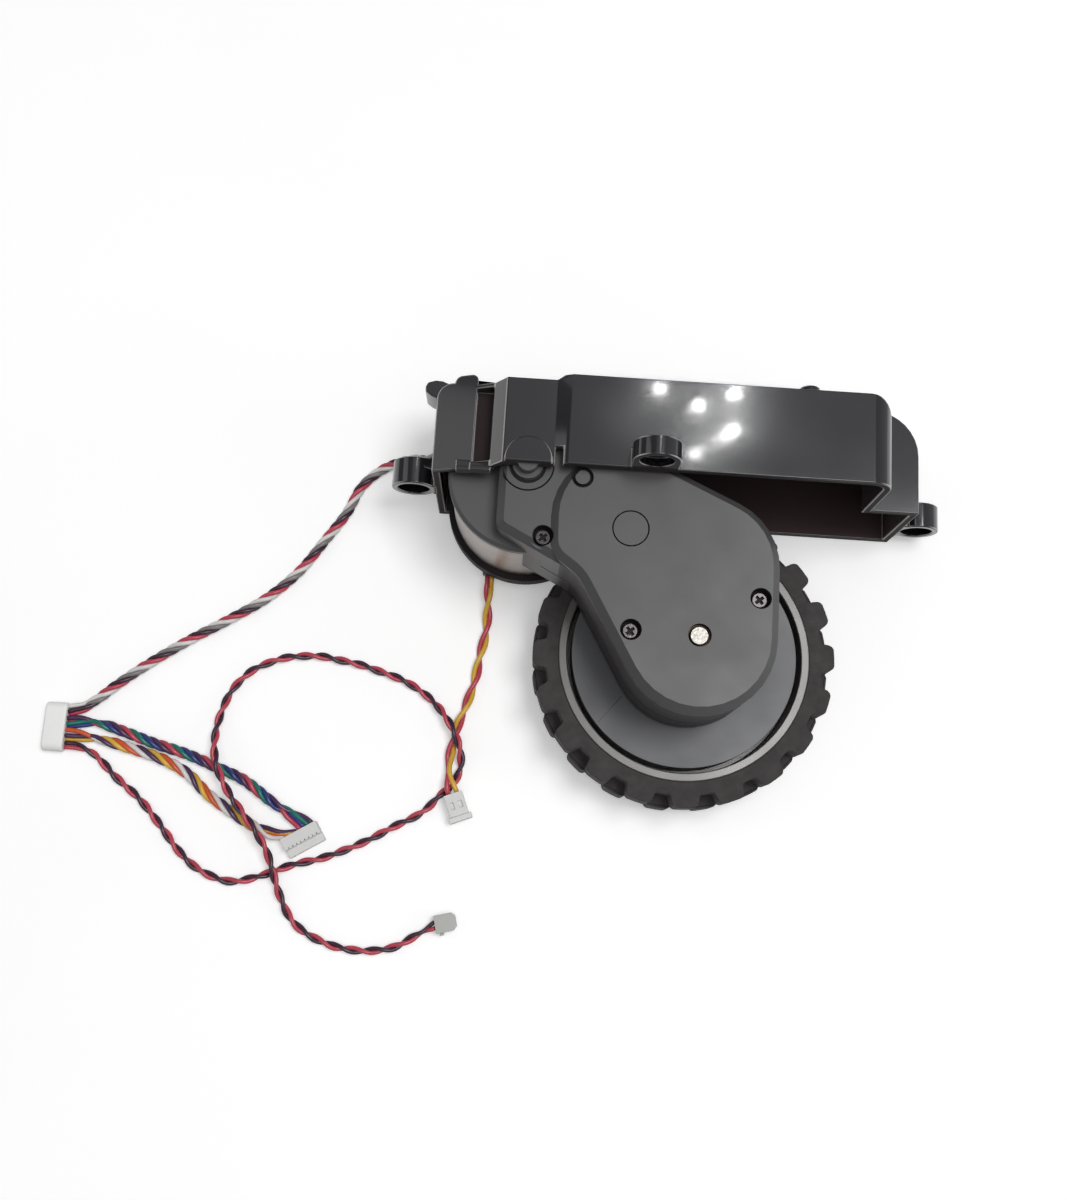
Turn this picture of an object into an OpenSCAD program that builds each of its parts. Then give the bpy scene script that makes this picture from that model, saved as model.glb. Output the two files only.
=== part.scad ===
/* [Housing] */
// Room between the motor's rear cap and the housing's side
cap_room = 1; // [0.9:0.05:1.2]
// Right side of the front tier
front_right = 77.7; // [77:0.1:80]
// Right side of the rear tier
rear_right = 88.5; // [88:0.1:90]
// Lower edge of the housing
housing_low = -0.6; // [-1:0.1:-0.5]
// Room over the motor can under the front tier's roof
roof_gap = 0.9; // [0.9:0.05:1.2]
// Roof of the rear tier
rear_top = 23.5; // [23.4:0.1:24]
// Gap between the gearbox's cover and the front panel
face_gap = 1.4; // [1.3:0.1:2]
// Depth of the rear tier
rear_depth = 25; // [24.5:0.1:26]
// Thickness of the housing's walls
wall = 1.8; // [1.5:0.1:1.8]
// Thickness of the front tier's roof
roof_wall = 1.75; // [1.6:0.05:1.8]
// Thickness of the rear wall
rear_wall = 2; // [1.8:0.1:2]
// Radius of the front tier's upright corner
front_corner = 5; // [3:0.5:6]
// Radius of the front tier's upper corner
front_corner_top = 5.5; // [3:0.5:6]
// Radius of the rear tier's upper corner
rear_corner_top = 10.5; // [8:0.5:11]
// Radius of the rear wall's lobe round the pivot
lobe_r = 14; // [12:0.5:14]

/* [Screw bosses] */
// Outer radius of a screw boss
boss_r = 5; // [4.8:0.1:5.5]
// Radius of the screw head's well
well_r = 3.6; // [3.2:0.1:3.8]
// Radius of the screw hole
screw_hole_r = 1.7; // [1.5:0.1:2]
// Thickness of the web under the screw head
boss_web = 2; // [1.6:0.1:2.5]
// Radius of the locating pin
pin_r = 2.2; // [2:0.1:2.5]
// Height of the locating pin over the roof
pin_high = 2.1; // [2:0.05:4]

/* [Arm] */
// Radius of the trunnion at the front
trunnion_r = 2.2; // [2:0.1:2.4]
// Radius of the journal at the back
journal_r = 3.5; // [3.2:0.1:3.6]
// Radial clearance of the running fits
run_gap = 0.05; // [0.03:0.01:0.08]
// Wall of the gear case
case_wall = 1.5; // [1.3:0.1:1.5]
// Bevel round the cover
cover_bevel = 1.6; // [1.2:0.1:1.6]
// Radius of a cover screw's head
cover_head_r = 1.55; // [1.4:0.05:1.8]
// Radius of a cover screw's well
cover_well_r = 2.25; // [2.1:0.05:2.4]

/* [Motor] */
// Radius of the motor can
can_r = 16.8; // [16.4:0.1:16.8]
// Thickness of the motor can
can_wall = 0.8; // [0.6:0.1:0.9]
// Edge of the flange beyond the motor can
flange_lip = 0.5; // [0.3:0.1:0.5]
// Edge of the motor's rear cap beyond the can
cap_lip = 1.4; // [1.2:0.1:1.4]
// Thickness of the motor's magnets
magnet_thick = 2.7; // [2.5:0.1:2.8]
// Radius of the motor shaft
motor_shaft_r = 1; // [1:0.05:1.1]

/* [Gears] */
// Teeth of the motor pinion
teeth_motor = 12; // [12]
// Teeth of gear 1's wheel
teeth_1 = 36; // [36]
// Teeth of gear 1's pinion
pinion_1 = 15; // [15]
// Teeth of gear 2's wheel
teeth_2 = 45; // [45]
// Teeth of gear 2's pinion
pinion_2 = 14; // [14]
// Teeth of gear 3's wheel
teeth_3 = 36; // [36]
// Teeth of gear 3's pinion
pinion_3 = 12; // [12]
// Teeth of the output gear
teeth_out = 26; // [26]
// Module of the first two stages
module_fine = 0.5; // [0.5]
// Module of the third stage
module_mid = 0.6; // [0.6]
// Module of the last stage
module_coarse = 0.8; // [0.8]
// Play between the flanks of a gear pair
backlash = 0.12; // [0.1:0.01:0.14]
// Radius of the gear shafts
gear_shaft_r = 1; // [0.9:0.05:1]

/* [Wheel] */
// Radius over the tyre's lugs
tyre_r = 34; // [33.5:0.1:34]
// Height of a lug
lug_high = 2.9; // [2.5:0.1:3]
// Lugs in each row of the tyre
lugs = 20; // [16:1:24]
// Width of the gap between two lugs
lug_gap = 4.6; // [3.6:0.1:4.8]
// Thickness of the tyre over its lugs
tyre_thick = 5.75; // [5.5:0.05:6]
// Thickness of the rim's ring
rim_thick = 1.85; // [1.7:0.05:2]
// Groove between the rim and the disc
disc_groove = 1.1; // [0.9:0.1:1.3]
// Gap between the tyre and the motor can
wheel_gap = 0.5; // [0.5:0.05:0.8]
// Radius of the wheel's axle
axle_r = 2; // [1.9:0.05:2.1]
// Radius of the cap on the wheel's back
wheel_cap_r = 8.5; // [8:0.1:8.5]

/* [Spring and switch] */
// Thickness of the return spring's wire
wire_d = 1.2; // [1:0.1:1.3]
// Mean radius of the return spring
spring_r = 7.2; // [7:0.1:7.4]
// Turns of the return spring
spring_turns = 3.5; // [3.5]
// Travel of the switch's lever over the arm's whole swing, in degrees
lever_travel = 2.8; // [2:0.1:3]

/* [Cords] */
// Thickness of the four-wire main lead
main_d = 2.5; // [2.3:0.1:2.6]
// Thickness of the two-wire switch lead
switch_d = 2; // [1.8:0.1:2.1]
// Thickness of a signal lead
signal_d = 2.7; // [2.5:0.1:2.8]
// Thickness of the two-wire motor lead
motor_lead_d = 2.4; // [2.2:0.1:2.5]

/* [Hidden] */
$fn = 64;

// cutters pass through their piece by this much
eps = 0.5;
// degrees between two points of a rounded outline
arc_step = 12;

// radii that follow from the sizes above
flange_r = can_r + flange_lip;
cap_r = can_r + cap_lip;
seal_r = cap_r + 1.1;
rim_r = tyre_r - tyre_thick;
rim_bore_r = rim_r - rim_thick;
disc_r = rim_bore_r - disc_groove;
can_in = can_r - can_wall;
core_r = can_in - magnet_thick - 0.6;
front_top = can_r + roof_gap + roof_wall;

// levels over the rear plane
z_left_face = 40.2;
z_cover_face = z_left_face + cover_bevel;
z_split = 27.5;
z_case_low = 19.2;
z_flange_top = 33.4;
z_flange_low = 31;
z_can_low = 9.3;
z_cap_low = 5.3;
z_ceiling_left = z_left_face - case_wall;
z_ceiling = z_cover_face - case_wall;
z_floor = z_case_low + case_wall;
z_shaft_1 = z_left_face - 0.7;
z_shaft_2 = z_cover_face - 1.2;
z_shaft_3 = z_cover_face - 2.8;
front_depth = z_cover_face + face_gap + wall;
z_panel = front_depth - 1.5;
trunnion_end = front_depth - wall + 0.2;

// centres, seen from the front, the arm's pivot at 0, 0
housing_left = -(cap_r + cap_room + wall);
lug_left = [housing_left - 4.7, 20];
lug_right = [rear_right + 4.2, 9];
lug_centre = [26.6, front_depth + 4.6];
lug_low = -0.8;
lug_right_low = -0.2;
lug_tall = 6.2;
centre_tall = 4.2;
pin_at = [60, 40];
frame_x = (lug_left[0] + lug_right[0]) / 2;
wheel_aim = -42.71;
wheel_at = (tyre_r + can_r + wheel_gap) * [cos(wheel_aim), sin(wheel_aim)];
frame_y = (wheel_at[1] - tyre_r + rear_top) / 2;

// arm's outline as rounded posts, a negative radius for the hollow at the waist
waist = [4.5, -30.3, -10];
wheel_post = [wheel_at[0], wheel_at[1], 16.5];
gear_post = [wheel_at[0] + 1.5, wheel_at[1] + 15.5, 15.1];
case_posts = [[0, 0, 6], [-3.2, -12, 2.8], waist, wheel_post, gear_post, [11.76, -2.39, 11.1]];
plateau_posts = [[20.4, -10.5, 14.85], [11.3, -16, 5.6], waist, wheel_post, gear_post];
screw_at = [[4.1, -15.2], wheel_at + [-14.3, 0.3], wheel_at + [12.5, 8.6]];

// gear centres from the pair distances
dist_1 = module_fine * (teeth_motor + teeth_1) / 2;
dist_2 = module_fine * (pinion_1 + teeth_2) / 2;
dist_3 = module_mid * (pinion_2 + teeth_3) / 2;
dist_4 = module_coarse * (pinion_3 + teeth_out) / 2;
aim_1 = -11.5;
aim_2 = -44.6;
s1 = dist_1 * [cos(aim_1), sin(aim_1)];
s2 = s1 + dist_2 * [cos(aim_2), sin(aim_2)];
s3 = meeting(s2, dist_3, wheel_at, dist_4);

// right-hand point at distance ra from a and rb from b, walking from a to b with it on the left
function meeting(a, ra, b, rb) =
  let (
    d = norm(b - a),
    u = (b - a) / d,
    x = (ra * ra - rb * rb + d * d) / (2 * d),
    y = sqrt(ra * ra - x * x)
  )
  a + x * u + y * [-u[1], u[0]];

function heading(a, b) = atan2(b[1] - a[1], b[0] - a[0]);
function side_angle(a, b) = heading(a, b) - acos((a[2] - b[2]) / norm([b[0] - a[0], b[1] - a[1]]));
function turn(p, from, to) = p[2] > 0 ? (to - from + 720) % 360 : -((from - to + 720) % 360);
function outline(posts, t = 0) = [
  for (i = [0 : len(posts) - 1])
    let (
      p = posts[i],
      from = side_angle(posts[(i + len(posts) - 1) % len(posts)], p),
      s = turn(p, from, side_angle(p, posts[(i + 1) % len(posts)])),
      n = max(1, ceil(abs(s) / arc_step))
    )
    for (k = [0 : n]) [p[0] + (p[2] - t) * cos(from + s * k / n), p[1] + (p[2] - t) * sin(from + s * k / n)]
];
function arc(c, r, from, to) =
  let (n = ceil(abs(to - from) / arc_step))
  [for (k = [0 : n]) let (a = from + (to - from) * k / n) c + r * [cos(a), sin(a)]];
function ring(r, from, to) = arc([0, 0], r, from, to);

// gear outlines
function inv(a) = tan(a) * 180 / PI - a;
pressure = 25;
function half_tooth(m, n, r) =
  let (rp = m * n / 2, rb = rp * cos(pressure))
  90 / n - backlash / 4 / rp * 180 / PI + inv(pressure) - inv(acos(min(1, rb / r)));
function gear_points(m, n) =
  let (rp = m * n / 2, root = rp - 1.2 * m, low = max(root, rp * cos(pressure)), tip = rp + m)
  [
    for (i = [0 : n - 1])
      for (q = [
        [root, -half_tooth(m, n, low)], [low, -half_tooth(m, n, low)], [rp, -half_tooth(m, n, rp)],
        [tip, -half_tooth(m, n, tip)], [tip, half_tooth(m, n, tip)], [rp, half_tooth(m, n, rp)],
        [low, half_tooth(m, n, low)], [root, half_tooth(m, n, low)]
      ])
        q[0] * [cos(i * 360 / n + q[1]), sin(i * 360 / n + q[1])]
  ];
// turn of gear b so that it meshes with gear a, which is turned by pa, on the line of centres at aim
function mesh(aim, na, pa, nb) = aim + 180 - (0.5 - (aim - pa) * na / 360) * 360 / nb;
phase_motor = 0;
phase_1 = mesh(heading([0, 0], s1), teeth_motor, phase_motor, teeth_1);
phase_2 = mesh(heading(s1, s2), pinion_1, phase_1, teeth_2);
phase_3 = mesh(heading(s2, s3), pinion_2, phase_2, teeth_3);
phase_out = mesh(heading(s3, wheel_at), pinion_3, phase_3, teeth_out);

// swept tube through a list of points
tube_sides = 8;
function unit(v) = v / norm(v);
function tube_points(path, r, sides) = [
  for (i = [0 : len(path) - 1])
    let (
      d = unit(path[min(i + 1, len(path) - 1)] - path[max(i - 1, 0)]),
      u = unit(cross(d, [0, 0, 1])),
      v = cross(u, d)
    )
    for (k = [0 : sides - 1])
      let (a = (k + 0.5) * 360 / sides)
      path[i] + r * (cos(a) * u + sin(a) * v)
];
function tube_faces(rings, sides) = concat(
  [[for (k = [0 : sides - 1]) k]],
  [[for (k = [sides - 1 : -1 : 0]) (rings - 1) * sides + k]],
  [
    for (i = [0 : rings - 2])
      for (k = [0 : sides - 1])
        [i * sides + k, (i + 1) * sides + k, (i + 1) * sides + (k + 1) % sides, i * sides + (k + 1) % sides]
  ]
);

// routes of the cords, x, y, z over the surface they lie on
sleeve_x = [-108, -103];
sleeve_y = [-63.8, -52.4];
sleeve_high = 3.4;
main_exit = [-23, 11.8, 4];
main_route = [
  main_exit, [-29, 11.6, 2.6], [-35, 9.4, 1.6], [-40, 4.6, 1.3], [-43, -2.2, 1.3], [-47.6, -9.4, 1.3],
  [-53, -17.4, 1.3], [-60, -24.4, 1.3], [-68.4, -30.2, 1.3], [-77.6, -36, 1.3], [-86.6, -42.4, 1.3],
  [-93, -47.6, 1.3], [-98.4, -52.4, 1.4], [sleeve_x[1], -54.2, 1.7]
];
switch_route = [
  [sleeve_x[1], -62.2, 1.6], [-99.6, -62.4, 1.2], [-95.6, -64.2, 1], [-90.4, -68.8, 1], [-84.4, -73.4, 1],
  [-78.8, -79.2, 1], [-74.2, -84.4, 1], [-69, -88.4, 1], [-62, -90.6, 1], [-55.6, -89.2, 1],
  [-48.2, -86.2, 1],
  [-42, -84.4, 1], [-36.6, -82.2, 1], [-31, -79.4, 1], [-25.4, -76, 1], [-21, -73.6, 1], [-18, -71.2, 1],
  [-15.5, -68.2, 1], [-13.5, -66.6, 1], [-12, -64.2, 1.05], [-11.2, -61.2, 1.5], [-11.5, -58, 2.9],
  [-12.8, -54.6, 3.7], [-15.2, -50.6, 3], [-18.2, -47.2, 1.6], [-21.8, -44.4, 1],
  [-26.4, -42, 1], [-31.6, -40.4, 1], [-36.6, -39, 1], [-41.8, -38.2, 1], [-46, -37.6, 1], [-50, -37.8, 1],
  [-54, -38.4, 1], [-57.8, -39.8, 1], [-61.2, -41.6, 1], [-63.8, -44, 1], [-66, -47, 1], [-67.4, -50.6, 1],
  [-68.2, -55, 2], [-68, -60, 4], [-67, -64.4, 5], [-65, -68.4, 5], [-62.4, -72.2, 5], [-59.4, -75.6, 5],
  [-56.4, -79.2, 5], [-53.8, -83, 4], [-52, -87.4, 3.4], [-50.4, -92, 2.2], [-47.6, -97.4, 1],
  [-44, -100.6, 1],
  [-39, -102.8, 1], [-34.6, -103.8, 1], [-29.2, -104, 1], [-23.2, -102.8, 1], [-18.6, -100, 1.2],
  [-14.4, -97.4, 1.6]
];
signal_route_1 = [
  [sleeve_x[1], -57, 1.6], [-99, -56.4, 1.4], [-95, -56.8, 1.4], [-89.2, -58.4, 1.4], [-82.8, -60.4, 1.4],
  [-74.4, -62.6, 1.4], [-67.8, -65, 1.4], [-61, -67.6, 1.4], [-54.4, -72, 1.4], [-49.4, -75.6, 1.6],
  [-46.6, -77.9, 1.8]
];
signal_route_2 = [
  [sleeve_x[1], -59.7, 1.6], [-99, -59.8, 1.4], [-94.8, -60.4, 1.4], [-88.6, -61.8, 1.4], [-80.4, -64, 1.4],
  [-74, -67, 1.4], [-68.8, -71.4, 1.4], [-63.4, -74.8, 1.4], [-57.6, -78, 1.4], [-52.8, -79.8, 1.6],
  [-49.5, -79.8, 1.8]
];
gland_face = [-7.5, -16, 3.8];
motor_plug = [-12.5, -67.9, 0];
signal_plug = [-47.2, -78.3];
switch_plug = [-14.4, -97.4];
motor_route = [
  gland_face - [0, 0.35, 0], [-7.55, -20.9, 3.6], [-7.5, -23.4, 2.4], [-7.4, -26.4, 1.4], [-7.6, -30, 1.2],
  [-8.6, -35.4, 1.2], [-9.4, -41.4, 1.2], [-11.2, -47.8, 1.2], [-12.8, -52.8, 1.2], [-13.7, -57.8, 1.3],
  [-13.9, -61, 1.9], [-13.7, -64, 3], [-13.2, -66.2, 3.4], motor_plug + [0, 0, 3.1]
];

// places the whole part with its middle at the origin
module place() translate([-frame_x, -frame_y, 0]) children();
module at(p, z = 0) translate([p[0], p[1], z]) children();
module rod(p, r, z0, z1) at(p, z0) cylinder(r = r, h = z1 - z0);
module slab(points, z0, z1) translate([0, 0, z0]) linear_extrude(z1 - z0) polygon(points);
module block(x, y, z) translate([x[0], y[0], z[0]]) cube([x[1] - x[0], y[1] - y[0], z[1] - z[0]]);
module upright(p, r, y0, y1) translate([p[0], y1, p[1]]) rotate([90, 0, 0]) cylinder(r = r, h = y1 - y0);
module tube(route, d, sides = tube_sides)
  polyhedron(tube_points(route, d / 2, sides), tube_faces(len(route), sides), convexity = 8);
module bevel(posts, z0, z1, t) {
  low = outline(posts);
  n = len(low);
  polyhedron(
    concat([for (p = low) [p[0], p[1], z0]], [for (p = outline(posts, t)) [p[0], p[1], z1]]),
    concat(
      [[for (k = [0 : n - 1]) k]], [[for (k = [n - 1 : -1 : 0]) n + k]],
      [for (k = [0 : n - 1]) [k, n + k, n + (k + 1) % n, (k + 1) % n]]
    )
  );
}

// housing
front_plan = concat(
  [[housing_left, 0], [housing_left, z_panel - 10], [-12.2, z_panel - 5.9], [-8.2, z_panel - 3.9],
    [-5.5, z_panel], [5.3, z_panel], [8.6, front_depth]],
  arc([front_right - front_corner, front_depth - front_corner], front_corner, 90, 0), [[front_right, 0]]
);
front_room = concat(
  [[housing_left + wall, -eps], [housing_left + wall, z_panel - 10.9], [-8.2, z_panel - 5.65],
    [-7.4, z_panel - 4.9], [-4.6, z_panel - wall], [5.6, z_panel - wall], [8.9, front_depth - wall]],
  arc([front_right - front_corner, front_depth - front_corner], front_corner - wall, 90, 0),
  [[front_right - wall, -eps]]
);
function tier(x0, x1, y0, y1, left_r, right_r) = concat(
  [[x0, y0], [x1, y0]], arc([x1 - right_r, y1 - right_r], right_r, 0, 90),
  arc([x0 + left_r, y1 - left_r], left_r, 90, 180)
);
room_low = housing_low - 4;
module along_y(points, y0, y1)
  translate([0, y1, 0]) rotate([90, 0, 0]) linear_extrude(y1 - y0) polygon(points);
module front_body() intersection() {
  along_y(front_plan, housing_low, front_top);
  slab(tier(housing_left, front_right, housing_low, front_top, 3, front_corner_top), 0, front_depth + eps);
}
module front_hollow() intersection() {
  along_y(front_room, room_low, front_top - roof_wall);
  slab(
    tier(
      housing_left + wall, front_right - wall, room_low, front_top - roof_wall,
      3 - wall, front_corner_top - wall
    ),
    rear_wall, front_depth
  );
}
slot = [-12.2, -8.2];
slot_floor = [z_panel - 9.4, z_panel - 8.3];
hump = [-17.2, -11.9];
hump_top = 21;
step_low = 18.5;
catch = [
  [-24.1, 20.3], [-24, 19.05], [-22.6, 18.1], [-20.8, 17.3], [-17.6, 17.3], [-17.6, 20.8], [-20.3, 21.8],
  [-21.85, 21.9], [-23.6, 21.3]
];
module screw_boss(p, y0, y1, wide = boss_r) upright(p, wide, y0, y1);
module boss_hole(p, y0, y1) {
  upright(p, well_r, y0 - eps, y1 - boss_web);
  upright(p, screw_hole_r, y0, y1 + eps);
}
half_bearing_r = 5;
bush_r = 5;
spring_post = [5.1, 8.6];
spring_post_r = 1.3;
switch_x = [12.7, 23.9];
switch_y = [16.4, 21.4];
switch_z = [4.2, 10];
switch_hole = [[14.6, 19.4], [22, 19.4]];
switch_screw_r = 0.8;
grommet_at = [11.8, 4];
grommet_r = 2.2;
module housing() {
  color([0.09, 0.09, 0.1]) difference() {
    union() {
      difference() {
        union() {
          front_body();
          intersection() {
            along_y(front_plan, step_low - 1, hump_top);
            slab(tier(hump[0], hump[1], step_low - 1, hump_top, 1.6, 1.6), rear_depth, front_depth);
          }
          slab(tier(housing_left, rear_right, housing_low, rear_top, 3, rear_corner_top), 0, rear_depth);
        }
        front_hollow();
        slab(
          tier(
            housing_left + wall, rear_right - wall, room_low, rear_top - wall,
            3 - wall, rear_corner_top - wall
          ),
          rear_wall, rear_depth - wall
        );
        block(slot, [0.9, 17.4], [z_panel - 13.5, z_panel - 1.5]);
        block([5.6, 7.3], [housing_low - eps, 3.3], [z_panel - 3.5, front_depth + 1]);
        slab(
          [[hump[1], step_low], [5.2, step_low], [7.6, front_top + eps], [hump[1], front_top + eps]],
          z_panel - 9.5, front_depth + 1
        );
      }
      block([slot[0] - 0.9, slot[1] + 0.8], [0.3, 18], slot_floor);
      block([slot[0] - 0.9, slot[0]], [0.3, 18], [slot_floor[0], slot_floor[1] + 1.4]);
      block([slot[1], slot[1] + 0.8], [0.3, 18], [slot_floor[0], slot_floor[1] + 3.5]);
      rod([0, 0], lobe_r, 0, rear_wall);
      rod(spring_post, spring_post_r, rear_wall, 5);
      intersection() {
        rod([0, 0], half_bearing_r, z_left_face + 1, front_depth);
        block(
          [-half_bearing_r, half_bearing_r], [housing_low, half_bearing_r], [z_left_face, front_depth + 1]
        );
      }
      block([-15.5, -12.2], [-1.5, 0.9], [slot_floor[1] + 1, slot_floor[1] + 3.4]);
      block([-12.5, -8], [-1.5, 0.3], [slot_floor[1] + 1.7, slot_floor[1] + 4.2]);
      for (p = switch_hole) rod(p, 1.4, rear_wall, switch_z[0]);
      upright(pin_at, pin_r, front_top - wall / 2, front_top + pin_high);
      slab(catch, 22, 30);
      screw_boss(lug_left, lug_low, lug_low + lug_tall);
      block(
        [lug_left[0] + 2, housing_left + 0.2], [lug_low, lug_low + lug_tall],
        [lug_left[1] - 2.6, lug_left[1] + 2.6]
      );
      along_y(
        [[housing_left + 0.1, 6], [housing_left + 0.1, 24], [lug_left[0], 25], [lug_left[0] - 3, 16]],
        lug_low + lug_tall - boss_web, lug_low + lug_tall
      );
      screw_boss(lug_right, lug_right_low, lug_right_low + lug_tall - 0.2);
      block(
        [rear_right - 0.2, lug_right[0] - 2], [lug_right_low, lug_right_low + lug_tall - 0.2],
        [lug_right[1] - 4, lug_right[1] + 4]
      );
      screw_boss(lug_centre, housing_low, housing_low + centre_tall);
      block(
        [lug_centre[0] - boss_r, lug_centre[0] + boss_r], [housing_low, housing_low + centre_tall],
        [front_depth - 0.5, lug_centre[1]]
      );
    }
    boss_hole(lug_left, lug_low, lug_low + lug_tall);
    boss_hole(lug_right, lug_right_low, lug_right_low + lug_tall - 0.2);
    boss_hole(lug_centre, housing_low, housing_low + centre_tall);
    rod([0, 0], bush_r, -eps, rear_wall + eps);
    rod([0, 0], trunnion_r + run_gap, z_left_face, trunnion_end + 0.2);
    for (p = switch_hole) rod(p, switch_screw_r, rear_wall + 0.3, switch_z[0] + eps);
    translate([housing_left - eps, grommet_at[0], grommet_at[1]]) rotate([0, 90, 0])
      cylinder(r = grommet_r, h = wall + 2 * eps);
  }
}
module pivot_bush() {
  color([0.75, 0.7, 0.6]) difference() {
    union() {
      rod([0, 0], bush_r, 0, rear_wall);
      rod([0, 0], bush_r + 1.2, rear_wall, rear_wall + 0.6);
    }
    rod([0, 0], journal_r + run_gap, -eps, rear_wall + 1);
  }
}
module wire_grommet() {
  color([0.05, 0.05, 0.05]) translate([housing_left, grommet_at[0], grommet_at[1]]) rotate([0, 90, 0])
    difference() {
      union() {
        cylinder(r = grommet_r, h = wall);
        translate([0, 0, -2]) cylinder(r = grommet_r + 0.8, h = 2);
        translate([0, 0, wall]) cylinder(r = grommet_r + 0.8, h = 0.8);
      }
      translate([0, 0, -1]) cylinder(r = main_d / 2, h = wall + 3);
    }
}

// drop switch and its lever, which follows the cam on the motor's rear cap
lever_pin = [23, 15.2];
lever_pin_r = 0.5;
lever_tip = [9.2, 16.8];
lever_tip_r = 0.8;
lever_z = [5, 9.2];
ear = [0.7, 1.1];
module drop_switch() {
  color([0.12, 0.12, 0.13]) difference() {
    union() {
      block(switch_x, switch_y, switch_z);
      for (z = [switch_z[0], switch_z[1] - ear[0]])
        block(
          [lever_pin[0] - 0.8, lever_pin[0] + 0.8], [lever_pin[1] - ear[1], switch_y[0] + eps],
          [z, z + ear[0]]
        );
      rod(lever_pin, lever_pin_r, switch_z[0], switch_z[1]);
    }
    for (p = switch_hole) rod(p, switch_screw_r, switch_z[0] - eps, switch_z[1] + eps);
  }
}
module switch_screws() {
  color([0.5, 0.5, 0.52]) for (p = switch_hole) difference() {
    union() {
      rod(p, switch_screw_r, rear_wall + 0.4, switch_z[1]);
      rod(p, 1.4, switch_z[1], switch_z[1] + 0.9);
    }
    at(p, switch_z[1] + 0.6) cube([2, 0.4, 0.8], center = true);
  }
}
lever_line = [[23, 15.2], [13.4, 15.35], [11.4, 15.9], [9.2, 16.8]];
lever_thick = 0.4;
function strip(line, t) =
  let (
    n = len(line),
    side = [
      for (i = [0 : n - 1])
        let (d = unit(line[min(i + 1, n - 1)] - line[max(i - 1, 0)])) [-d[1], d[0]] * t / 2
    ]
  )
  concat([for (i = [0 : n - 1]) line[i] + side[i]], [for (i = [n - 1 : -1 : 0]) line[i] - side[i]]);
module switch_lever() {
  color([0.7, 0.7, 0.72]) difference() {
    union() {
      slab(strip(lever_line, lever_thick), lever_z[0], lever_z[1]);
      rod(lever_pin, 1, lever_z[0], lever_z[1]);
      rod(lever_tip, lever_tip_r, lever_z[0], lever_z[1]);
    }
    rod(lever_pin, lever_pin_r + run_gap, lever_z[0] - eps, lever_z[1] + eps);
  }
}

// return spring round the journal, one leg on the housing's post and one in the cap's notch
spring_low = 3.3;
spring_pitch = 1.25;
spring_steps = 72;
spring_end = spring_low + spring_turns * spring_pitch;
spring_route = concat(
  [[spring_r, 9.4, spring_low], [spring_r, 4, spring_low]],
  [
    for (k = [0 : spring_steps])
      let (a = -spring_turns * 360 * k / spring_steps)
      [spring_r * cos(a), spring_r * sin(a), spring_low + spring_turns * spring_pitch * k / spring_steps]
  ],
  [[-spring_r, 4, spring_end], [-spring_r, 8.4, spring_end]]
);
module return_spring() {
  color([0.6, 0.6, 0.6]) tube(spring_route, wire_d, 6);
}

// gearbox
seam = 0.3;
boss_small_r = 2.6;
shaft_boss_r = 2.2;
module screw_wells() for (p = screw_at) rod(p, cover_well_r, screw_seat(p), z_cover_face + eps);
well_deep = 2.9;
function face_over(p) = norm(p) < seal_r ? z_left_face : z_cover_face;
function screw_seat(p) = face_over(p) - well_deep;
module gearbox_cover() {
  color([0.16, 0.16, 0.17]) difference() {
    union() {
      difference() {
        union() {
          slab(outline(case_posts, seam), z_split, z_split + 0.5);
          slab(outline(case_posts), z_split + 0.5, z_left_face - cover_bevel);
          bevel(case_posts, z_left_face - cover_bevel, z_left_face, cover_bevel);
          slab(outline(plateau_posts), z_left_face - cover_bevel, z_left_face);
          bevel(plateau_posts, z_left_face, z_cover_face, cover_bevel);
        }
        slab(outline(case_posts, case_wall), z_split - eps, z_ceiling_left);
        slab(outline(plateau_posts, cover_bevel + 0.9), z_split, z_ceiling);
      }
      for (p = screw_at) rod(p, boss_small_r + 0.3, z_split, face_over(p) - 0.8);
      rod(s2, shaft_boss_r, 38.5, z_ceiling + 0.3);
      rod(s3, shaft_boss_r, 35.4, z_ceiling + 0.3);
      rod(wheel_at, 4.6, 37, z_ceiling + 0.3);
      rod([0, 0], 3.25, z_left_face - 0.2, z_left_face + 1);
      rod([0, 0], trunnion_r, z_left_face, trunnion_end);
    }
    rod([0, 0], seal_r + 0.02, z_split - eps, z_flange_top);
    screw_wells();
    for (p = screw_at) rod(p, 0.85, z_split - eps, z_cover_face);
    rod(s1, gear_shaft_r, z_ceiling_left - eps, z_shaft_1);
    rod(s2, gear_shaft_r, 38, z_shaft_2);
    rod(s3, gear_shaft_r, 35, z_shaft_3);
    rod(wheel_at, 3.4, 36.5, z_ceiling);
    rod(wheel_at, axle_r + 0.45, 36.5, z_cover_face + eps);
    at(s2, z_cover_face - 0.6) difference() {
      cylinder(r = 3.95, h = 1);
      translate([0, 0, -eps]) cylinder(r = 3.65, h = 2);
    }
    at(s1, z_cover_face - 1) difference() {
      cylinder(r = 2.3, h = 1.5);
      translate([0, 0, -eps]) cylinder(r = 1.55, h = 2);
    }
    at([0, 0], z_left_face - 0.6) difference() {
      cylinder(r = 5.7, h = 0.7);
      translate([0, 0, -eps]) cylinder(r = 5.35, h = 2);
    }
  }
}
motor_screw_at = [[-2.7, 7.5], [-2.7, -7.5]];
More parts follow.
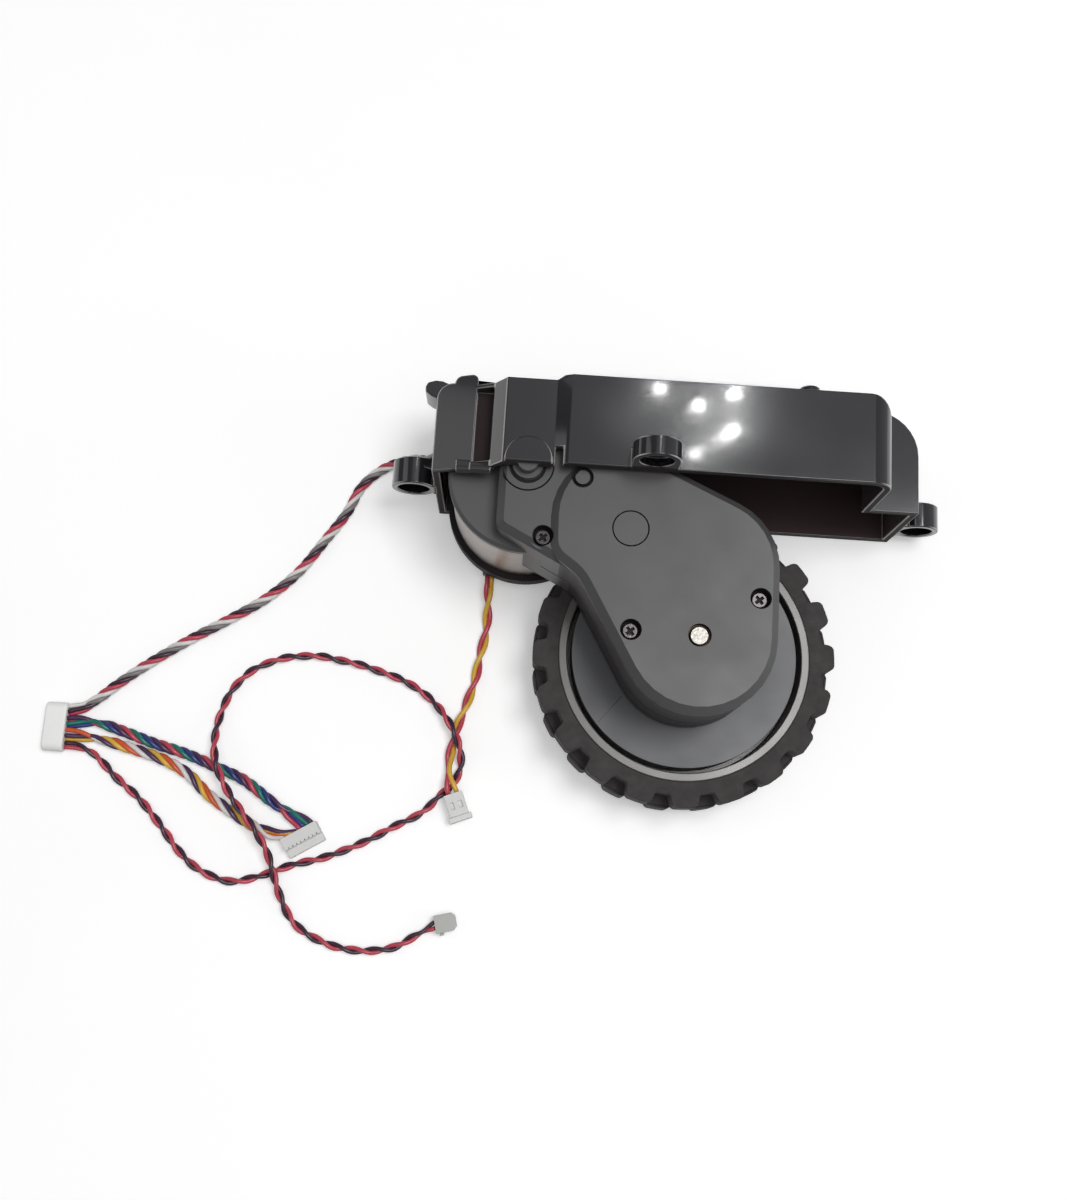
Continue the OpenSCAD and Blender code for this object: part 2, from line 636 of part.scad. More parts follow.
module gearbox_case() {
  color([0.13, 0.13, 0.14]) difference() {
    union() {
      difference() {
        slab(outline(case_posts), z_case_low, z_split);
        slab(outline(case_posts, case_wall), z_floor, z_split + eps);
      }
      intersection() {
        slab(outline(case_posts), z_case_low, z_flange_top);
        rod([0, 0], seal_r, z_case_low, z_flange_top);
      }
      rod([0, 0], flange_r, z_flange_low, z_flange_top - 0.8);
      at([0, 0], z_flange_top - 0.8) cylinder(r1 = flange_r, r2 = flange_r - 0.7, h = 0.8);
      rod(screw_at[1], boss_small_r, z_floor - 0.2, z_split);
      rod(screw_at[2], boss_small_r, z_floor - 0.2, z_split);
      rod(s2, shaft_boss_r, z_floor - 0.2, 31);
      rod(s3, shaft_boss_r, z_floor - 0.2, 23.6);
      rod(wheel_at, 4.6, z_floor - 0.2, 23);
    }
    rod([0, 0], can_r + 0.02, z_case_low - eps, z_flange_low);
    rod([0, 0], 3.02, z_flange_low - eps, z_flange_top + eps);
    for (p = motor_screw_at) {
      rod(p, 1.9, z_flange_top - 1.3, z_flange_top + eps);
      rod(p, 1.1, z_flange_low - eps, z_flange_top);
    }
    rod(screw_at[0], screw_thread_r, z_flange_low + 0.3, z_flange_top + eps);
    rod(screw_at[1], screw_thread_r, z_floor, z_split + eps);
    rod(screw_at[2], screw_thread_r, z_floor, z_split + eps);
    rod(s1, gear_shaft_r, z_flange_low + 0.4, z_flange_top + eps);
    rod(s2, gear_shaft_r, z_floor, 31.5);
    rod(s3, gear_shaft_r, z_floor, 24);
    rod(wheel_at, 3.4, z_floor - 0.2, 23 + eps);
    rod(wheel_at, axle_r + 0.3, z_case_low - eps, z_floor);
  }
}
screw_thread_r = 0.8;
module cross_screw(p, seat, tip, head_r, head_high, thread_r) {
  difference() {
    union() {
      rod(p, head_r, seat, seat + head_high);
      rod(p, thread_r, tip, seat);
    }
    for (a = [40, 130]) at(p, seat + head_high) rotate(a)
      cube([head_r * 1.3, head_r * 0.36, head_high], center = true);
  }
}
module cover_screws() {
  color([0.1, 0.1, 0.1]) {
    cross_screw(screw_at[0], screw_seat(screw_at[0]), z_flange_low + 0.5, cover_head_r, 1.1, screw_thread_r);
    cross_screw(screw_at[1], screw_seat(screw_at[1]), z_floor + 2, cover_head_r, 1.1, screw_thread_r);
    cross_screw(screw_at[2], screw_seat(screw_at[2]), z_floor + 2, cover_head_r, 1.1, screw_thread_r);
  }
}

// motor
module motor_can() {
  color([0.78, 0.75, 0.72]) difference() {
    rod([0, 0], can_r, z_can_low, z_flange_low);
    rod([0, 0], can_in, z_can_low - eps, z_flange_low - 1);
    rod([0, 0], 3, z_flange_low - 2, z_flange_low + eps);
    for (p = motor_screw_at) rod(p, 1, z_flange_low - 2, z_flange_low + eps);
  }
}
module motor_screws() {
  color([0.6, 0.6, 0.62]) for (p = motor_screw_at)
    cross_screw(p, z_flange_top - 1.3, z_flange_low - 1.6, 1.7, 1.1, 1);
}
bell_z = [11.8, 13.6];
brush_z = [15.6, 17.8];
module motor_end_bell() {
  color([0.1, 0.1, 0.1]) difference() {
    union() {
      rod([0, 0], can_in, bell_z[0], bell_z[1]);
      rod([0, 0], 4.4, bell_z[1] - 0.2, 14.6);
      for (s = [-1, 1]) translate([s * 9.5, 0, bell_z[1] + 1]) cube([7, 4.4, 2.2], center = true);
    }
    rod([0, 0], 3, bell_z[0] - eps, 15);
  }
}
module motor_brushes() {
  color([0.25, 0.22, 0.2]) for (s = [-1, 1]) translate([s * 6.6, 0, (brush_z[0] + brush_z[1]) / 2])
    cube([7, 3, brush_z[1] - brush_z[0]], center = true);
}
module motor_magnets() {
  color([0.3, 0.3, 0.32]) for (s = [0, 180]) slab(
    concat(ring(can_in, s + 25, s + 155), ring(can_in - magnet_thick, s + 155, s + 25)), 17, 28.5
  );
}
module motor_bushes() {
  color([0.7, 0.5, 0.25]) {
    difference() {
      rod([0, 0], 3, z_flange_low - 1.6, z_flange_top - 0.6);
      rod([0, 0], motor_shaft_r + run_gap, z_flange_low - 3, z_flange_top + eps);
    }
    difference() {
      rod([0, 0], 3, bell_z[0], 14.6);
      rod([0, 0], motor_shaft_r + run_gap, bell_z[0] - eps, 16);
    }
  }
}
module motor_shaft() {
  color([0.8, 0.8, 0.82]) rod([0, 0], motor_shaft_r, 9.8, 38);
}
module armature_core() {
  color([0.45, 0.45, 0.47]) difference() {
    rod([0, 0], core_r, 19.6, 27.8);
    rod([0, 0], motor_shaft_r, 19, 28.5);
    for (a = [0 : 72 : 359]) rotate(a) {
      translate([core_r - 0.7, 0, 23.7]) cube([3, 1.4, 10], center = true);
      translate([8.6, 0, 19]) cylinder(r = 2.2, h = 10);
    }
  }
}
module armature_windings() {
  color([0.72, 0.4, 0.2]) for (a = [36 : 72 : 359]) rotate(a) {
    translate([7.4, 0, 28.35]) cube([6.4, 6, 1.1], center = true);
    translate([7.4, 0, 19.05]) cube([6.4, 6, 1.1], center = true);
  }
}
module commutator() {
  color([0.75, 0.5, 0.3]) difference() {
    rod([0, 0], 3, 15.1, 18.4);
    rod([0, 0], motor_shaft_r, 15, 19);
    for (a = [0 : 72 : 359]) rotate(a) translate([2.9, 0, 16.75]) cube([0.9, 0.3, 5], center = true);
  }
}
module encoder_magnet() {
  color([0.2, 0.2, 0.22]) difference() {
    rod([0, 0], 3.4, 9.8, 11.4);
    rod([0, 0], motor_shaft_r, 9, 12);
  }
}
module encoder_board() {
  color([0.1, 0.35, 0.15]) {
    difference() {
      rod([0, 0], can_in - 0.4, 9.5, 10.5);
      rod([0, 0], 4.2, 9, 11);
      for (p = cap_screw_at) rod(p, cap_screw_r + 0.2, 9, 11);
    }
    for (p = [[6.2, 0], [0, 6.2]]) at(p, 10.5) translate([-1, -1, 0]) cube([2, 2, 0.8]);
  }
}
cap_screw_at = [[can_r - 5.4, -4], [5.4 - can_r, 4]];
cap_screw_r = 1;
notch_x = [-spring_r - 1, -spring_r + 1];
cam_steps = 7;
swing = 28;
// point where the lever's tip runs, for the arm raised by t degrees, in the arm's own frame
function cam_point(t) =
  let (
    a = -lever_travel * t / swing,
    d = lever_tip - lever_pin,
    tip = lever_pin + [d[0] * cos(a) - d[1] * sin(a), d[0] * sin(a) + d[1] * cos(a)],
    own = [tip[0] * cos(t) + tip[1] * sin(t), tip[1] * cos(t) - tip[0] * sin(t)]
  )
  own * (norm(own) - lever_tip_r - 0.12) / norm(own);
cam_line = [for (k = [0 : cam_steps]) cam_point(swing * k / cam_steps)];
module motor_rear_cap() {
  color([0.12, 0.12, 0.13]) difference() {
    union() {
      rod([0, 0], cap_r, z_cap_low, z_can_low);
      slab(
        concat(
          [[0, 0]], [cam_point(swing) * 0.97 + [1.4, -2]],
          [for (k = [cam_steps : -1 : 0]) cam_line[k]], [[6, 15]]
        ),
        z_cap_low, z_can_low
      );
      rod([0, 0], journal_r, 0.4, z_cap_low + 1);
      for (p = cap_screw_at) rod(p, 2.2, z_can_low - eps, z_can_low + 0.2);
    }
    difference() {
      rod([0, 0], spring_r + 1.8, z_cap_low - eps, 8.3);
      rod([0, 0], spring_r - 1.6, z_cap_low - 1, 9);
    }
    block(notch_x, [0, 10.2], [z_cap_low - eps, 8.3]);
    rod(wheel_at, tyre_r + 0.6, 0, z_can_low + 1);
    for (p = cap_screw_at) {
      rod(p, cap_screw_r, z_cap_low - eps, z_can_low + 1);
      rod(p, 2, z_cap_low - eps, z_cap_low + 1.6);
    }
  }
}
module rear_cap_screws() {
  color([0.6, 0.6, 0.62]) for (p = cap_screw_at) difference() {
    union() {
      rod(p, 1.8, z_cap_low + 0.5, z_cap_low + 1.6);
      rod(p, cap_screw_r, z_cap_low + 1.6, bell_z[0] + 1.4);
    }
    for (a = [0, 90]) at(p, z_cap_low + 0.6) rotate(a) cube([2.4, 0.6, 0.9], center = true);
  }
}
module motor_lead_gland() {
  color([0.06, 0.06, 0.06]) difference() {
    block([-9.2, -5.8], [gland_face[1], -13.6], [2.4, z_cap_low]);
    translate([gland_face[0], gland_face[1] + 2, gland_face[2]]) rotate([90, 0, 0]) cylinder(r = 0.9, h = 3);
  }
}

// gear train
module gear(m, n, phase, z0, z1)
  translate([0, 0, z0]) linear_extrude(z1 - z0) rotate(phase) polygon(gear_points(m, n));
bore_gap = 0.04;
module motor_pinion() {
  color([0.8, 0.65, 0.3]) difference() {
    gear(module_fine, teeth_motor, phase_motor, 33.9, 37.6);
    rod([0, 0], motor_shaft_r, 33, 38);
  }
}
module gear_1() {
  color([0.93, 0.93, 0.9]) at(s1) difference() {
    union() {
      gear(module_fine, teeth_1, phase_1, 34.1, 36);
      gear(module_fine, pinion_1, phase_1, 35.8, 38.3);
    }
    rod([0, 0], gear_shaft_r + bore_gap, 33, 39);
  }
}
module gear_2() {
  color([0.93, 0.93, 0.9]) at(s2) difference() {
    union() {
      gear(module_fine, teeth_2, phase_2, 36.4, 38.1);
      gear(module_mid, pinion_2, phase_2, 31.4, 36.6);
    }
    rod([0, 0], gear_shaft_r + bore_gap, 31, 39);
  }
}
module gear_3() {
  color([0.2, 0.35, 0.7]) at(s3) difference() {
    union() {
      gear(module_mid, teeth_3, phase_3, 32, 35);
      gear(module_coarse, pinion_3, phase_3, 24, 32.2);
    }
    rod([0, 0], gear_shaft_r + bore_gap, 23, 36);
  }
}
module output_gear() {
  color([0.93, 0.93, 0.9]) at(wheel_at) difference() {
    union() {
      gear(module_coarse, teeth_out, phase_out, 24.5, 31.5);
      rod([0, 0], 4.4, 23.4, 31.5);
      rod([0, 0], 3.4, 31, 36.6);
    }
    rod([0, 0], axle_r, 23, 37);
  }
}
module gear_shaft_1() {
  color([0.8, 0.8, 0.82]) rod(s1, gear_shaft_r, z_flange_low + 0.4, z_shaft_1);
}
module gear_shaft_2() {
  color([0.8, 0.8, 0.82]) rod(s2, gear_shaft_r, z_floor, z_shaft_2);
}
module gear_shaft_3() {
  color([0.8, 0.8, 0.82]) rod(s3, gear_shaft_r, z_floor, z_shaft_3);
}
module axle_bush(z0, z1) difference() {
  rod(wheel_at, 3.4, z0, z1);
  rod(wheel_at, axle_r + run_gap, z0 - eps, z1 + eps);
}
module axle_bush_front() {
  color([0.7, 0.5, 0.25]) axle_bush(37, z_ceiling);
}
module axle_bush_rear() {
  color([0.7, 0.5, 0.25]) axle_bush(z_floor - 0.2, 23);
}

// wheel
hub_z = [2.6, 15.4];
disc_face = 17.4;
rim_front = 17.6;
module wheel_axle() {
  color([0.85, 0.85, 0.86]) difference() {
    rod(wheel_at, axle_r, hub_z[0], 41.3);
    rod(wheel_at, wheel_thread_r, hub_z[0] - eps, hub_z[0] + 6);
  }
}
wheel_thread_r = 1;
module wheel_rim() {
  color([0.68, 0.66, 0.63]) at(wheel_at) difference() {
    union() {
      difference() {
        rod([0, 0], rim_r, hub_z[0], rim_front);
        rod([0, 0], rim_bore_r, hub_z[0] - eps, rim_front + eps);
      }
      rod([0, 0], rim_bore_r + 0.2, 7, 9);
      rod([0, 0], 6.5, hub_z[0], hub_z[1]);
      for (a = [0 : 60 : 359]) rotate(a) block([5, rim_bore_r + 0.4], [-0.8, 0.8], [3.6, 7.2]);
    }
    rod([0, 0], axle_r, 0, 20);
  }
}
module wheel_disc() {
  color([0.24, 0.24, 0.25]) at(wheel_at) difference() {
    union() {
      rod([0, 0], disc_r, hub_z[1], disc_face);
      difference() {
        rod([0, 0], disc_r, 9, hub_z[1] + 0.2);
        rod([0, 0], disc_r - 1.6, 8, hub_z[1]);
      }
    }
    rod([0, 0], axle_r + 0.1, 8, 20);
  }
}
function lug_row(phase) =
  let (
    base = tyre_r - lug_high,
    pitch = 360 / lugs,
    half = asin(lug_gap / 2 / tyre_r),
    low = asin(lug_gap * 0.3 / base),
    flank = [[tyre_r - 1, half], [tyre_r - 0.35, half + 0.7], [tyre_r, half + 1.8]]
  )
  [
    for (i = [0 : lugs - 1])
      let (a = phase + i * pitch)
      for (q = concat(
        flank, [[tyre_r, pitch / 2]], [for (k = [2 : -1 : 0]) [flank[k][0], pitch - flank[k][1]]],
        [
          [base + 0.7, pitch - half * 0.85], [base, pitch - low], [base, pitch + low],
          [base + 0.7, pitch + half * 0.85]
        ]
      ))
        q[0] * [cos(a + q[1]), sin(a + q[1])]
  ];
tyre_mid = (hub_z[0] + rim_front) / 2;
lug_turn = 2.6;
module tyre() {
  color([0.17, 0.165, 0.16]) at(wheel_at) difference() {
    union() {
      slab(lug_row(lug_turn + 180 / lugs), tyre_mid, rim_front - 0.2);
      slab(lug_row(lug_turn), hub_z[0], tyre_mid);
    }
    rod([0, 0], rim_r, 0, 20);
  }
}
module wheel_cap() {
  color([0.2, 0.2, 0.21]) difference() {
    rod(wheel_at, wheel_cap_r, 0, hub_z[0]);
    rod(wheel_at, 2.8, -eps, 1.4);
    rod(wheel_at, wheel_thread_r, 0, 3);
  }
}
module wheel_screw() {
  color([0.6, 0.6, 0.62]) difference() {
    union() {
      rod(wheel_at, 2.4, 0.3, 1.4);
      rod(wheel_at, wheel_thread_r, 1.4, hub_z[0] + 5.6);
    }
    for (a = [0, 90]) at(wheel_at, 0.4) rotate(a) cube([3, 0.7, 0.9], center = true);
  }
}

// cords and what is on them
module main_cord() {
  color([0.6, 0.15, 0.15]) tube(main_route, main_d);
}
module switch_cord() {
  color([0.7, 0.15, 0.2]) tube(switch_route, switch_d);
}
module signal_cord_1() {
  color([0.1, 0.3, 0.5]) tube(signal_route_1, signal_d);
}
module signal_cord_2() {
  color([0.85, 0.7, 0.2]) tube(signal_route_2, signal_d);
}
module motor_cord() {
  color([0.85, 0.4, 0.1]) tube(motor_route, motor_lead_d);
}
module harness_sleeve() {
  r = sleeve_high / 2;
  color([0.93, 0.93, 0.92]) translate([sleeve_x[0], 0, 0]) rotate([90, 0, 90])
    linear_extrude(sleeve_x[1] - sleeve_x[0])
      polygon(concat(arc([sleeve_y[0] + r, r], r, 90, 270), arc([sleeve_y[1] - r, r], r, -90, 90)));
}
// one opening in a connector for each of its ways
module way_cuts(ways, pitch, wide, y, z) for (k = [0 : ways - 1])
  let (x = (k - (ways - 1) / 2) * pitch)
  block([x - wide / 2, x + wide / 2], y, z);
module motor_connector() {
  wide = 4.4;
  deep = 6.4;
  high = 4.6;
  color([0.93, 0.93, 0.92]) at(motor_plug) rotate(22) difference() {
    union() {
      block([-wide / 2, wide / 2], [1.2 - deep, 0], [0, high]);
      block([-wide / 2 - 0.5, wide / 2 + 0.5], [-deep, 1.3 - deep], [0, high - 1.1]);
    }
    way_cuts(2, 2, 1.3, [-0.8, eps], [high - 2.5, high - 0.7]);
    way_cuts(2, 2, 0.9, [-3.6, -2], [high - 0.5, high + eps]);
    way_cuts(2, 2, 1.2, [-deep - eps, 2 - deep], [0.9, 2.4]);
  }
}
module signal_connector() {
  ways = 8;
  pitch = 1;
  wide = ways * pitch + 1;
  deep = 4.8;
  high = 3.6;
  shelf = 1.8;
  color([0.93, 0.93, 0.92]) at(signal_plug) rotate(32) difference() {
    union() {
      block([-wide / 2, wide / 2], [shelf - deep, 0], [0, high]);
      block([-wide / 2, wide / 2], [-deep, shelf - deep + eps], [0, high / 2]);
    }
    for (k = [0 : ways - 1])
      let (x = (k - (ways - 1) / 2) * pitch, y = shelf - deep)
      slab([[x - pitch / 2, y - eps], [x + pitch / 2, y - eps], [x, y + 0.6]], high / 2, high + eps);
    way_cuts(ways, pitch, 0.6, [-0.8, eps], [1, 2.6]);
    way_cuts(ways, pitch, 0.6, [-deep - eps, 1.4 - deep], [0.5, 1.3]);
  }
}
module switch_connector() {
  wide = 4;
  deep = 4.8;
  high = 3.2;
  corner = 0.8;
  color([0.93, 0.93, 0.92]) at(switch_plug) rotate(105) difference() {
    union() {
      slab(
        [
          [-wide / 2, 0], [-wide / 2, corner - deep], [corner - wide / 2, -deep], [wide / 2 - corner, -deep],
          [wide / 2, corner - deep], [wide / 2, 0]
        ],
        0, high
      );
      block([-wide / 2 - 0.6, eps - wide / 2], [-1.6, -0.7], [0, high - 1]);
    }
    way_cuts(2, 1.6, 1, [-0.8, eps], [high - 2.2, high - 0.8]);
    way_cuts(2, 1.6, 0.8, [-deep - eps, 1.4 - deep], [0.8, 1.8]);
  }
}

place() housing();
place() pivot_bush();
place() wire_grommet();
place() drop_switch();
place() switch_screws();
place() return_spring();
place() switch_lever();
place() gearbox_cover();
place() gearbox_case();
place() cover_screws();
place() motor_can();
place() motor_end_bell();
place() motor_magnets();
place() motor_brushes();
place() motor_bushes();
place() motor_screws();
place() motor_rear_cap();
place() rear_cap_screws();
place() encoder_board();
place() motor_lead_gland();
place() gear_shaft_1();
place() gear_shaft_2();
place() gear_shaft_3();
place() axle_bush_front();
place() axle_bush_rear();
place() motor_shaft();
place() armature_core();
place() armature_windings();
place() commutator();
place() encoder_magnet();
place() motor_pinion();
place() gear_1();
place() gear_2();
place() gear_3();
place() wheel_axle();
place() output_gear();
place() wheel_rim();
place() wheel_disc();
place() tyre();
place() wheel_cap();
place() wheel_screw();
place() main_cord();
place() harness_sleeve();
place() switch_cord();
place() switch_connector();
place() signal_cord_1();
place() signal_cord_2();
place() signal_connector();
place() motor_cord();
place() motor_connector();
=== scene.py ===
"""Robot vacuum wheel module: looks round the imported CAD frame.

Blender's units are metres in the CAD row's frame. Tables give millimetres from the arm's pivot, as the CAD does,
and at() turns them into the frame.
"""
import math

import bmesh
import bpy
from mathutils import Matrix, Vector


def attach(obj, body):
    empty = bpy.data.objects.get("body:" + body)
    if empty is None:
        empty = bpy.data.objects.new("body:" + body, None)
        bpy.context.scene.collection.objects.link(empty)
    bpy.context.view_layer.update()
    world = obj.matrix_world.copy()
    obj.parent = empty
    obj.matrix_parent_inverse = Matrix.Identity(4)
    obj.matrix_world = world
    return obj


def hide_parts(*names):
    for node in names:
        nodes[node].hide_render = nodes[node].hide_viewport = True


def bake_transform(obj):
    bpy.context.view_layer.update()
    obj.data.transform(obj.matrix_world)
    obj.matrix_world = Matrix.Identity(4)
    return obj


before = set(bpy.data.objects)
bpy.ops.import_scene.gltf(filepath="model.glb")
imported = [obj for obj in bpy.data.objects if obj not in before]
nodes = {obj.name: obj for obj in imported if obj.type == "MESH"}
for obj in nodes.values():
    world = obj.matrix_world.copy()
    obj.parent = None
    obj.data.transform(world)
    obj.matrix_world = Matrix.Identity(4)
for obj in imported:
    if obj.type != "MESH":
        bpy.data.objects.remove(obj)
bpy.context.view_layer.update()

MM = 0.001
# the arm's pivot in the row frame: the CAD is drawn from the pivot and then centred
PIVOT = Vector((-33.5, 22.65, 0))


def at(x, y, z=0.0):
    """Row-frame point of a place given in millimetres from the arm's pivot."""
    return (Vector((x, y, z)) + PIVOT) * MM


# camera, fitted to the photograph
CAMERA_AT = at(0.9, -87.0, 304.9)
CAMERA_RIGHT = Vector((0.9979, 0.0607, 0.021))
CAMERA_BACK = Vector((-0.0076, -0.213, 0.977)).normalized()
LENS = 26.0
SENSOR = 24.0


def add_camera():
    data = bpy.data.cameras.new("camera")
    data.lens = LENS
    data.sensor_fit = "VERTICAL"
    data.sensor_height = SENSOR
    data.sensor_width = SENSOR
    data.clip_start = 0.01
    data.clip_end = 20
    up = CAMERA_BACK.cross(CAMERA_RIGHT).normalized()
    right = up.cross(CAMERA_BACK)
    camera = bpy.data.objects.new("camera", data)
    turn = Matrix((right, up, CAMERA_BACK)).transposed().to_4x4()
    camera.matrix_world = Matrix.Translation(CAMERA_AT) @ turn
    bpy.context.scene.collection.objects.link(camera)
    bpy.context.scene.camera = camera
    return camera


camera = add_camera()
bpy.context.scene.view_settings.view_transform = "Standard"


# materials
NOISE_DETAIL, NOISE_ROUGH = 3.0, 0.5
# the band that nearly all values of a noise lie in
NOISE_LOW, NOISE_HIGH = 0.3, 0.7
# how far a surface's roughness strays from its value, and the size of those patches as a share of the colour's
GLOSS_LOW, GLOSS_HIGH, GLOSS_PATCH = 0.9, 1.12, 0.4


def new_tree(name):
    mat = bpy.data.materials.new(name)
    mat.use_nodes = True
    tree = mat.node_tree
    tree.nodes.clear()
    out = tree.nodes.new("ShaderNodeOutputMaterial")
    shader = tree.nodes.new("ShaderNodeBsdfPrincipled")
    tree.links.new(shader.outputs[0], out.inputs["Surface"])
    return mat, tree, shader


def noise(tree, coords, size):
    """Noise whose features are about size metres across."""
    node = tree.nodes.new("ShaderNodeTexNoise")
    node.inputs["Scale"].default_value = 1 / size
    node.inputs["Detail"].default_value = NOISE_DETAIL
    node.inputs["Roughness"].default_value = NOISE_ROUGH
    tree.links.new(coords, node.inputs["Vector"])
    return node.outputs["Fac"]


def ramp(tree, value, low, high, start=NOISE_LOW, end=NOISE_HIGH):
    """Colour that goes from low to high as the value goes from start to end."""
    node = tree.nodes.new("ShaderNodeValToRGB")
    node.color_ramp.elements[0].position = start
    node.color_ramp.elements[0].color = (*low, 1)
    node.color_ramp.elements[1].position = end
    node.color_ramp.elements[1].color = (*high, 1)
    tree.links.new(value, node.inputs["Fac"])
    return node.outputs["Color"]


def spread(tree, value, low, high):
    """Number that goes from low to high over the band of a noise."""
    node = tree.nodes.new("ShaderNodeMapRange")
    node.inputs["From Min"].default_value = NOISE_LOW
    node.inputs["From Max"].default_value = NOISE_HIGH
    node.inputs["To Min"].default_value = low
    node.inputs["To Max"].default_value = high
    tree.links.new(value, node.inputs["Value"])
    return node.outputs["Result"]


def maths(tree, operation, *values):
    """Output of a math node whose inputs are plain numbers or other nodes' outputs."""
    node = tree.nodes.new("ShaderNodeMath")
    node.operation = operation
    for socket, value in zip(node.inputs, values):
        if isinstance(value, (int, float)):
            socket.default_value = value
        else:
            tree.links.new(value, socket)
    return node.outputs[0]


def within(tree, coords, region):
    """1 inside a region of the row frame and 0 outside it; the region is given in millimetres from the arm's
    pivot, as a box ((x, y, z), (x, y, z)) or as a ring (x, y, inner r, outer r, z, z)."""
    split = tree.nodes.new("ShaderNodeSeparateXYZ")
    tree.links.new(coords, split.inputs[0])
    if len(region) == 2:
        low, high = at(*region[0]), at(*region[1])
        near = [maths(tree, "COMPARE", split.outputs[k], (low[k] + high[k]) / 2, (high[k] - low[k]) / 2)
                for k in range(3)]
        return maths(tree, "MULTIPLY", maths(tree, "MULTIPLY", near[0], near[1]), near[2])
    x, y, r_in, r_out, z0, z1 = region
    axis = at(x, y)
    away = [maths(tree, "SUBTRACT", split.outputs[k], axis[k]) for k in range(2)]
    squares = [maths(tree, "MULTIPLY", d, d) for d in away]
    r = maths(tree, "SQRT", maths(tree, "ADD", squares[0], squares[1]))
    in_ring = maths(tree, "COMPARE", r, (r_in + r_out) / 2 * MM, (r_out - r_in) / 2 * MM)
    return maths(tree, "MULTIPLY", in_ring,
                 maths(tree, "COMPARE", split.outputs[2], (z0 + z1) / 2 * MM, (z1 - z0) / 2 * MM))


def stripe(tree, coords, start, end, wide):
    """1 on a line between two places, given in millimetres from the arm's pivot, whatever the height."""
    a, b = at(*start), at(*end)
    along = (b - a).normalized()
    across = Vector((-along.y, along.x, 0))
    walked, off = [], []
    for direction, out in ((along, walked), (across, off)):
        dot = tree.nodes.new("ShaderNodeVectorMath")
        dot.operation = "DOT_PRODUCT"
        dot.inputs[1].default_value = direction
        tree.links.new(coords, dot.inputs[0])
        out.append(dot.outputs["Value"])
    middle = (a + b) / 2
    return maths(tree, "MULTIPLY", maths(tree, "COMPARE", walked[0], middle.dot(along), (b - a).length / 2),
                 maths(tree, "COMPARE", off[0], middle.dot(across), wide / 2 * MM))


def mixed(tree, share, a, b, kind):
    """a where share is 0 and b where it is 1; b is a plain value."""
    node = tree.nodes.new("ShaderNodeMix")
    node.data_type = kind
    tree.links.new(share, node.inputs["Factor"])
    first, second = {"FLOAT": (2, 3), "RGBA": (6, 7)}[kind]
    tree.links.new(a, node.inputs[first])
    node.inputs[second].default_value = b
    return node.outputs[{"FLOAT": 0, "RGBA": 2}[kind]]


def bump(tree, value, depth, shader):
    node = tree.nodes.new("ShaderNodeBump")
    node.inputs["Distance"].default_value = depth
    node.inputs["Strength"].default_value = 1.0
    tree.links.new(value, node.inputs["Height"])
    tree.links.new(node.outputs["Normal"], shader.inputs["Normal"])


def surface(name, colour, rough, shade=0.12, metal=0.0, patch=0.012, grain=0.0004, depth=0.00001, coat=0.0,
            specular=0.5, stretch=(1, 1, 1), parts=(), line=None, coat_rough=0.08):
    """Plastic, rubber or metal: colour that varies by shade over patches, and a fine grain of a depth in metres.

    Each of parts is (colour, roughness, regions) for places with painted shade, such as dark wells, slots and
    recesses, and for places with painted light; each has no coat. line is (start, end, width) of a fine dark mould
    line.
    """
    mat, tree, shader = new_tree(name)
    place = tree.nodes.new("ShaderNodeTexCoord")
    mapping = tree.nodes.new("ShaderNodeMapping")
    mapping.inputs["Scale"].default_value = stretch
    tree.links.new(place.outputs["Object"], mapping.inputs["Vector"])
    coords = mapping.outputs["Vector"]
    low = tuple(c * (1 - shade) for c in colour)
    high = tuple(min(1, c * (1 + shade)) for c in colour)
    base = ramp(tree, noise(tree, coords, patch), low, high)
    gloss = spread(tree, noise(tree, coords, patch * GLOSS_PATCH), rough * GLOSS_LOW, min(1, rough * GLOSS_HIGH))
    coated = None
    for part_colour, part_rough, regions in parts:
        for region in regions:
            share = within(tree, place.outputs["Object"], region)
            base = mixed(tree, share, base, (*part_colour, 1), "RGBA")
            gloss = mixed(tree, share, gloss, part_rough, "FLOAT")
            if coat:
                coated = maths(tree, "MULTIPLY", coated or coat, maths(tree, "SUBTRACT", 1.0, share))
    if line:
        base = mixed(tree, stripe(tree, place.outputs["Object"], *line), base, (*DARK, 1), "RGBA")
    tree.links.new(base, shader.inputs["Base Color"])
    tree.links.new(gloss, shader.inputs["Roughness"])
    bump(tree, noise(tree, coords, grain), depth, shader)
    shader.inputs["Metallic"].default_value = metal
    shader.inputs["Specular IOR Level"].default_value = specular
    if coated:
        tree.links.new(coated, shader.inputs["Coat Weight"])
    else:
        shader.inputs["Coat Weight"].default_value = coat
    shader.inputs["Coat Roughness"].default_value = coat_rough
    return mat


# colours of painted shade: DARK in wells, grooves and screw crosses, and also the disc's fine mould line; BROWN and
# PALE_BROWN in the housing's slot and room
DARK = (0.008, 0.005, 0.006)
BROWN = (0.02, 0.011, 0.012)
PALE_BROWN = (0.05, 0.029, 0.031)
# painted shade, matte brown: the slot behind the panel and the walls' cut edges dark, and the steps of the room that
# the arm swings in paler, for the dim light in that recess
HOUSING_SLOTS = [((-12.3, 0.8, 29.8), (-8.1, 17.5, 37.4)), ((-21.2, -0.7, -0.2), (90, -0.5, 46))]
HOUSING_ROOM = [((-4.5, -0.45, 1.9), (75.9, 15.5, 43.2)), ((75.8, -0.45, 1.9), (86.7, 15.5, 23.2)),
                ((-19.2, -0.45, 1.9), (-4.6, 15.5, 31.7))]
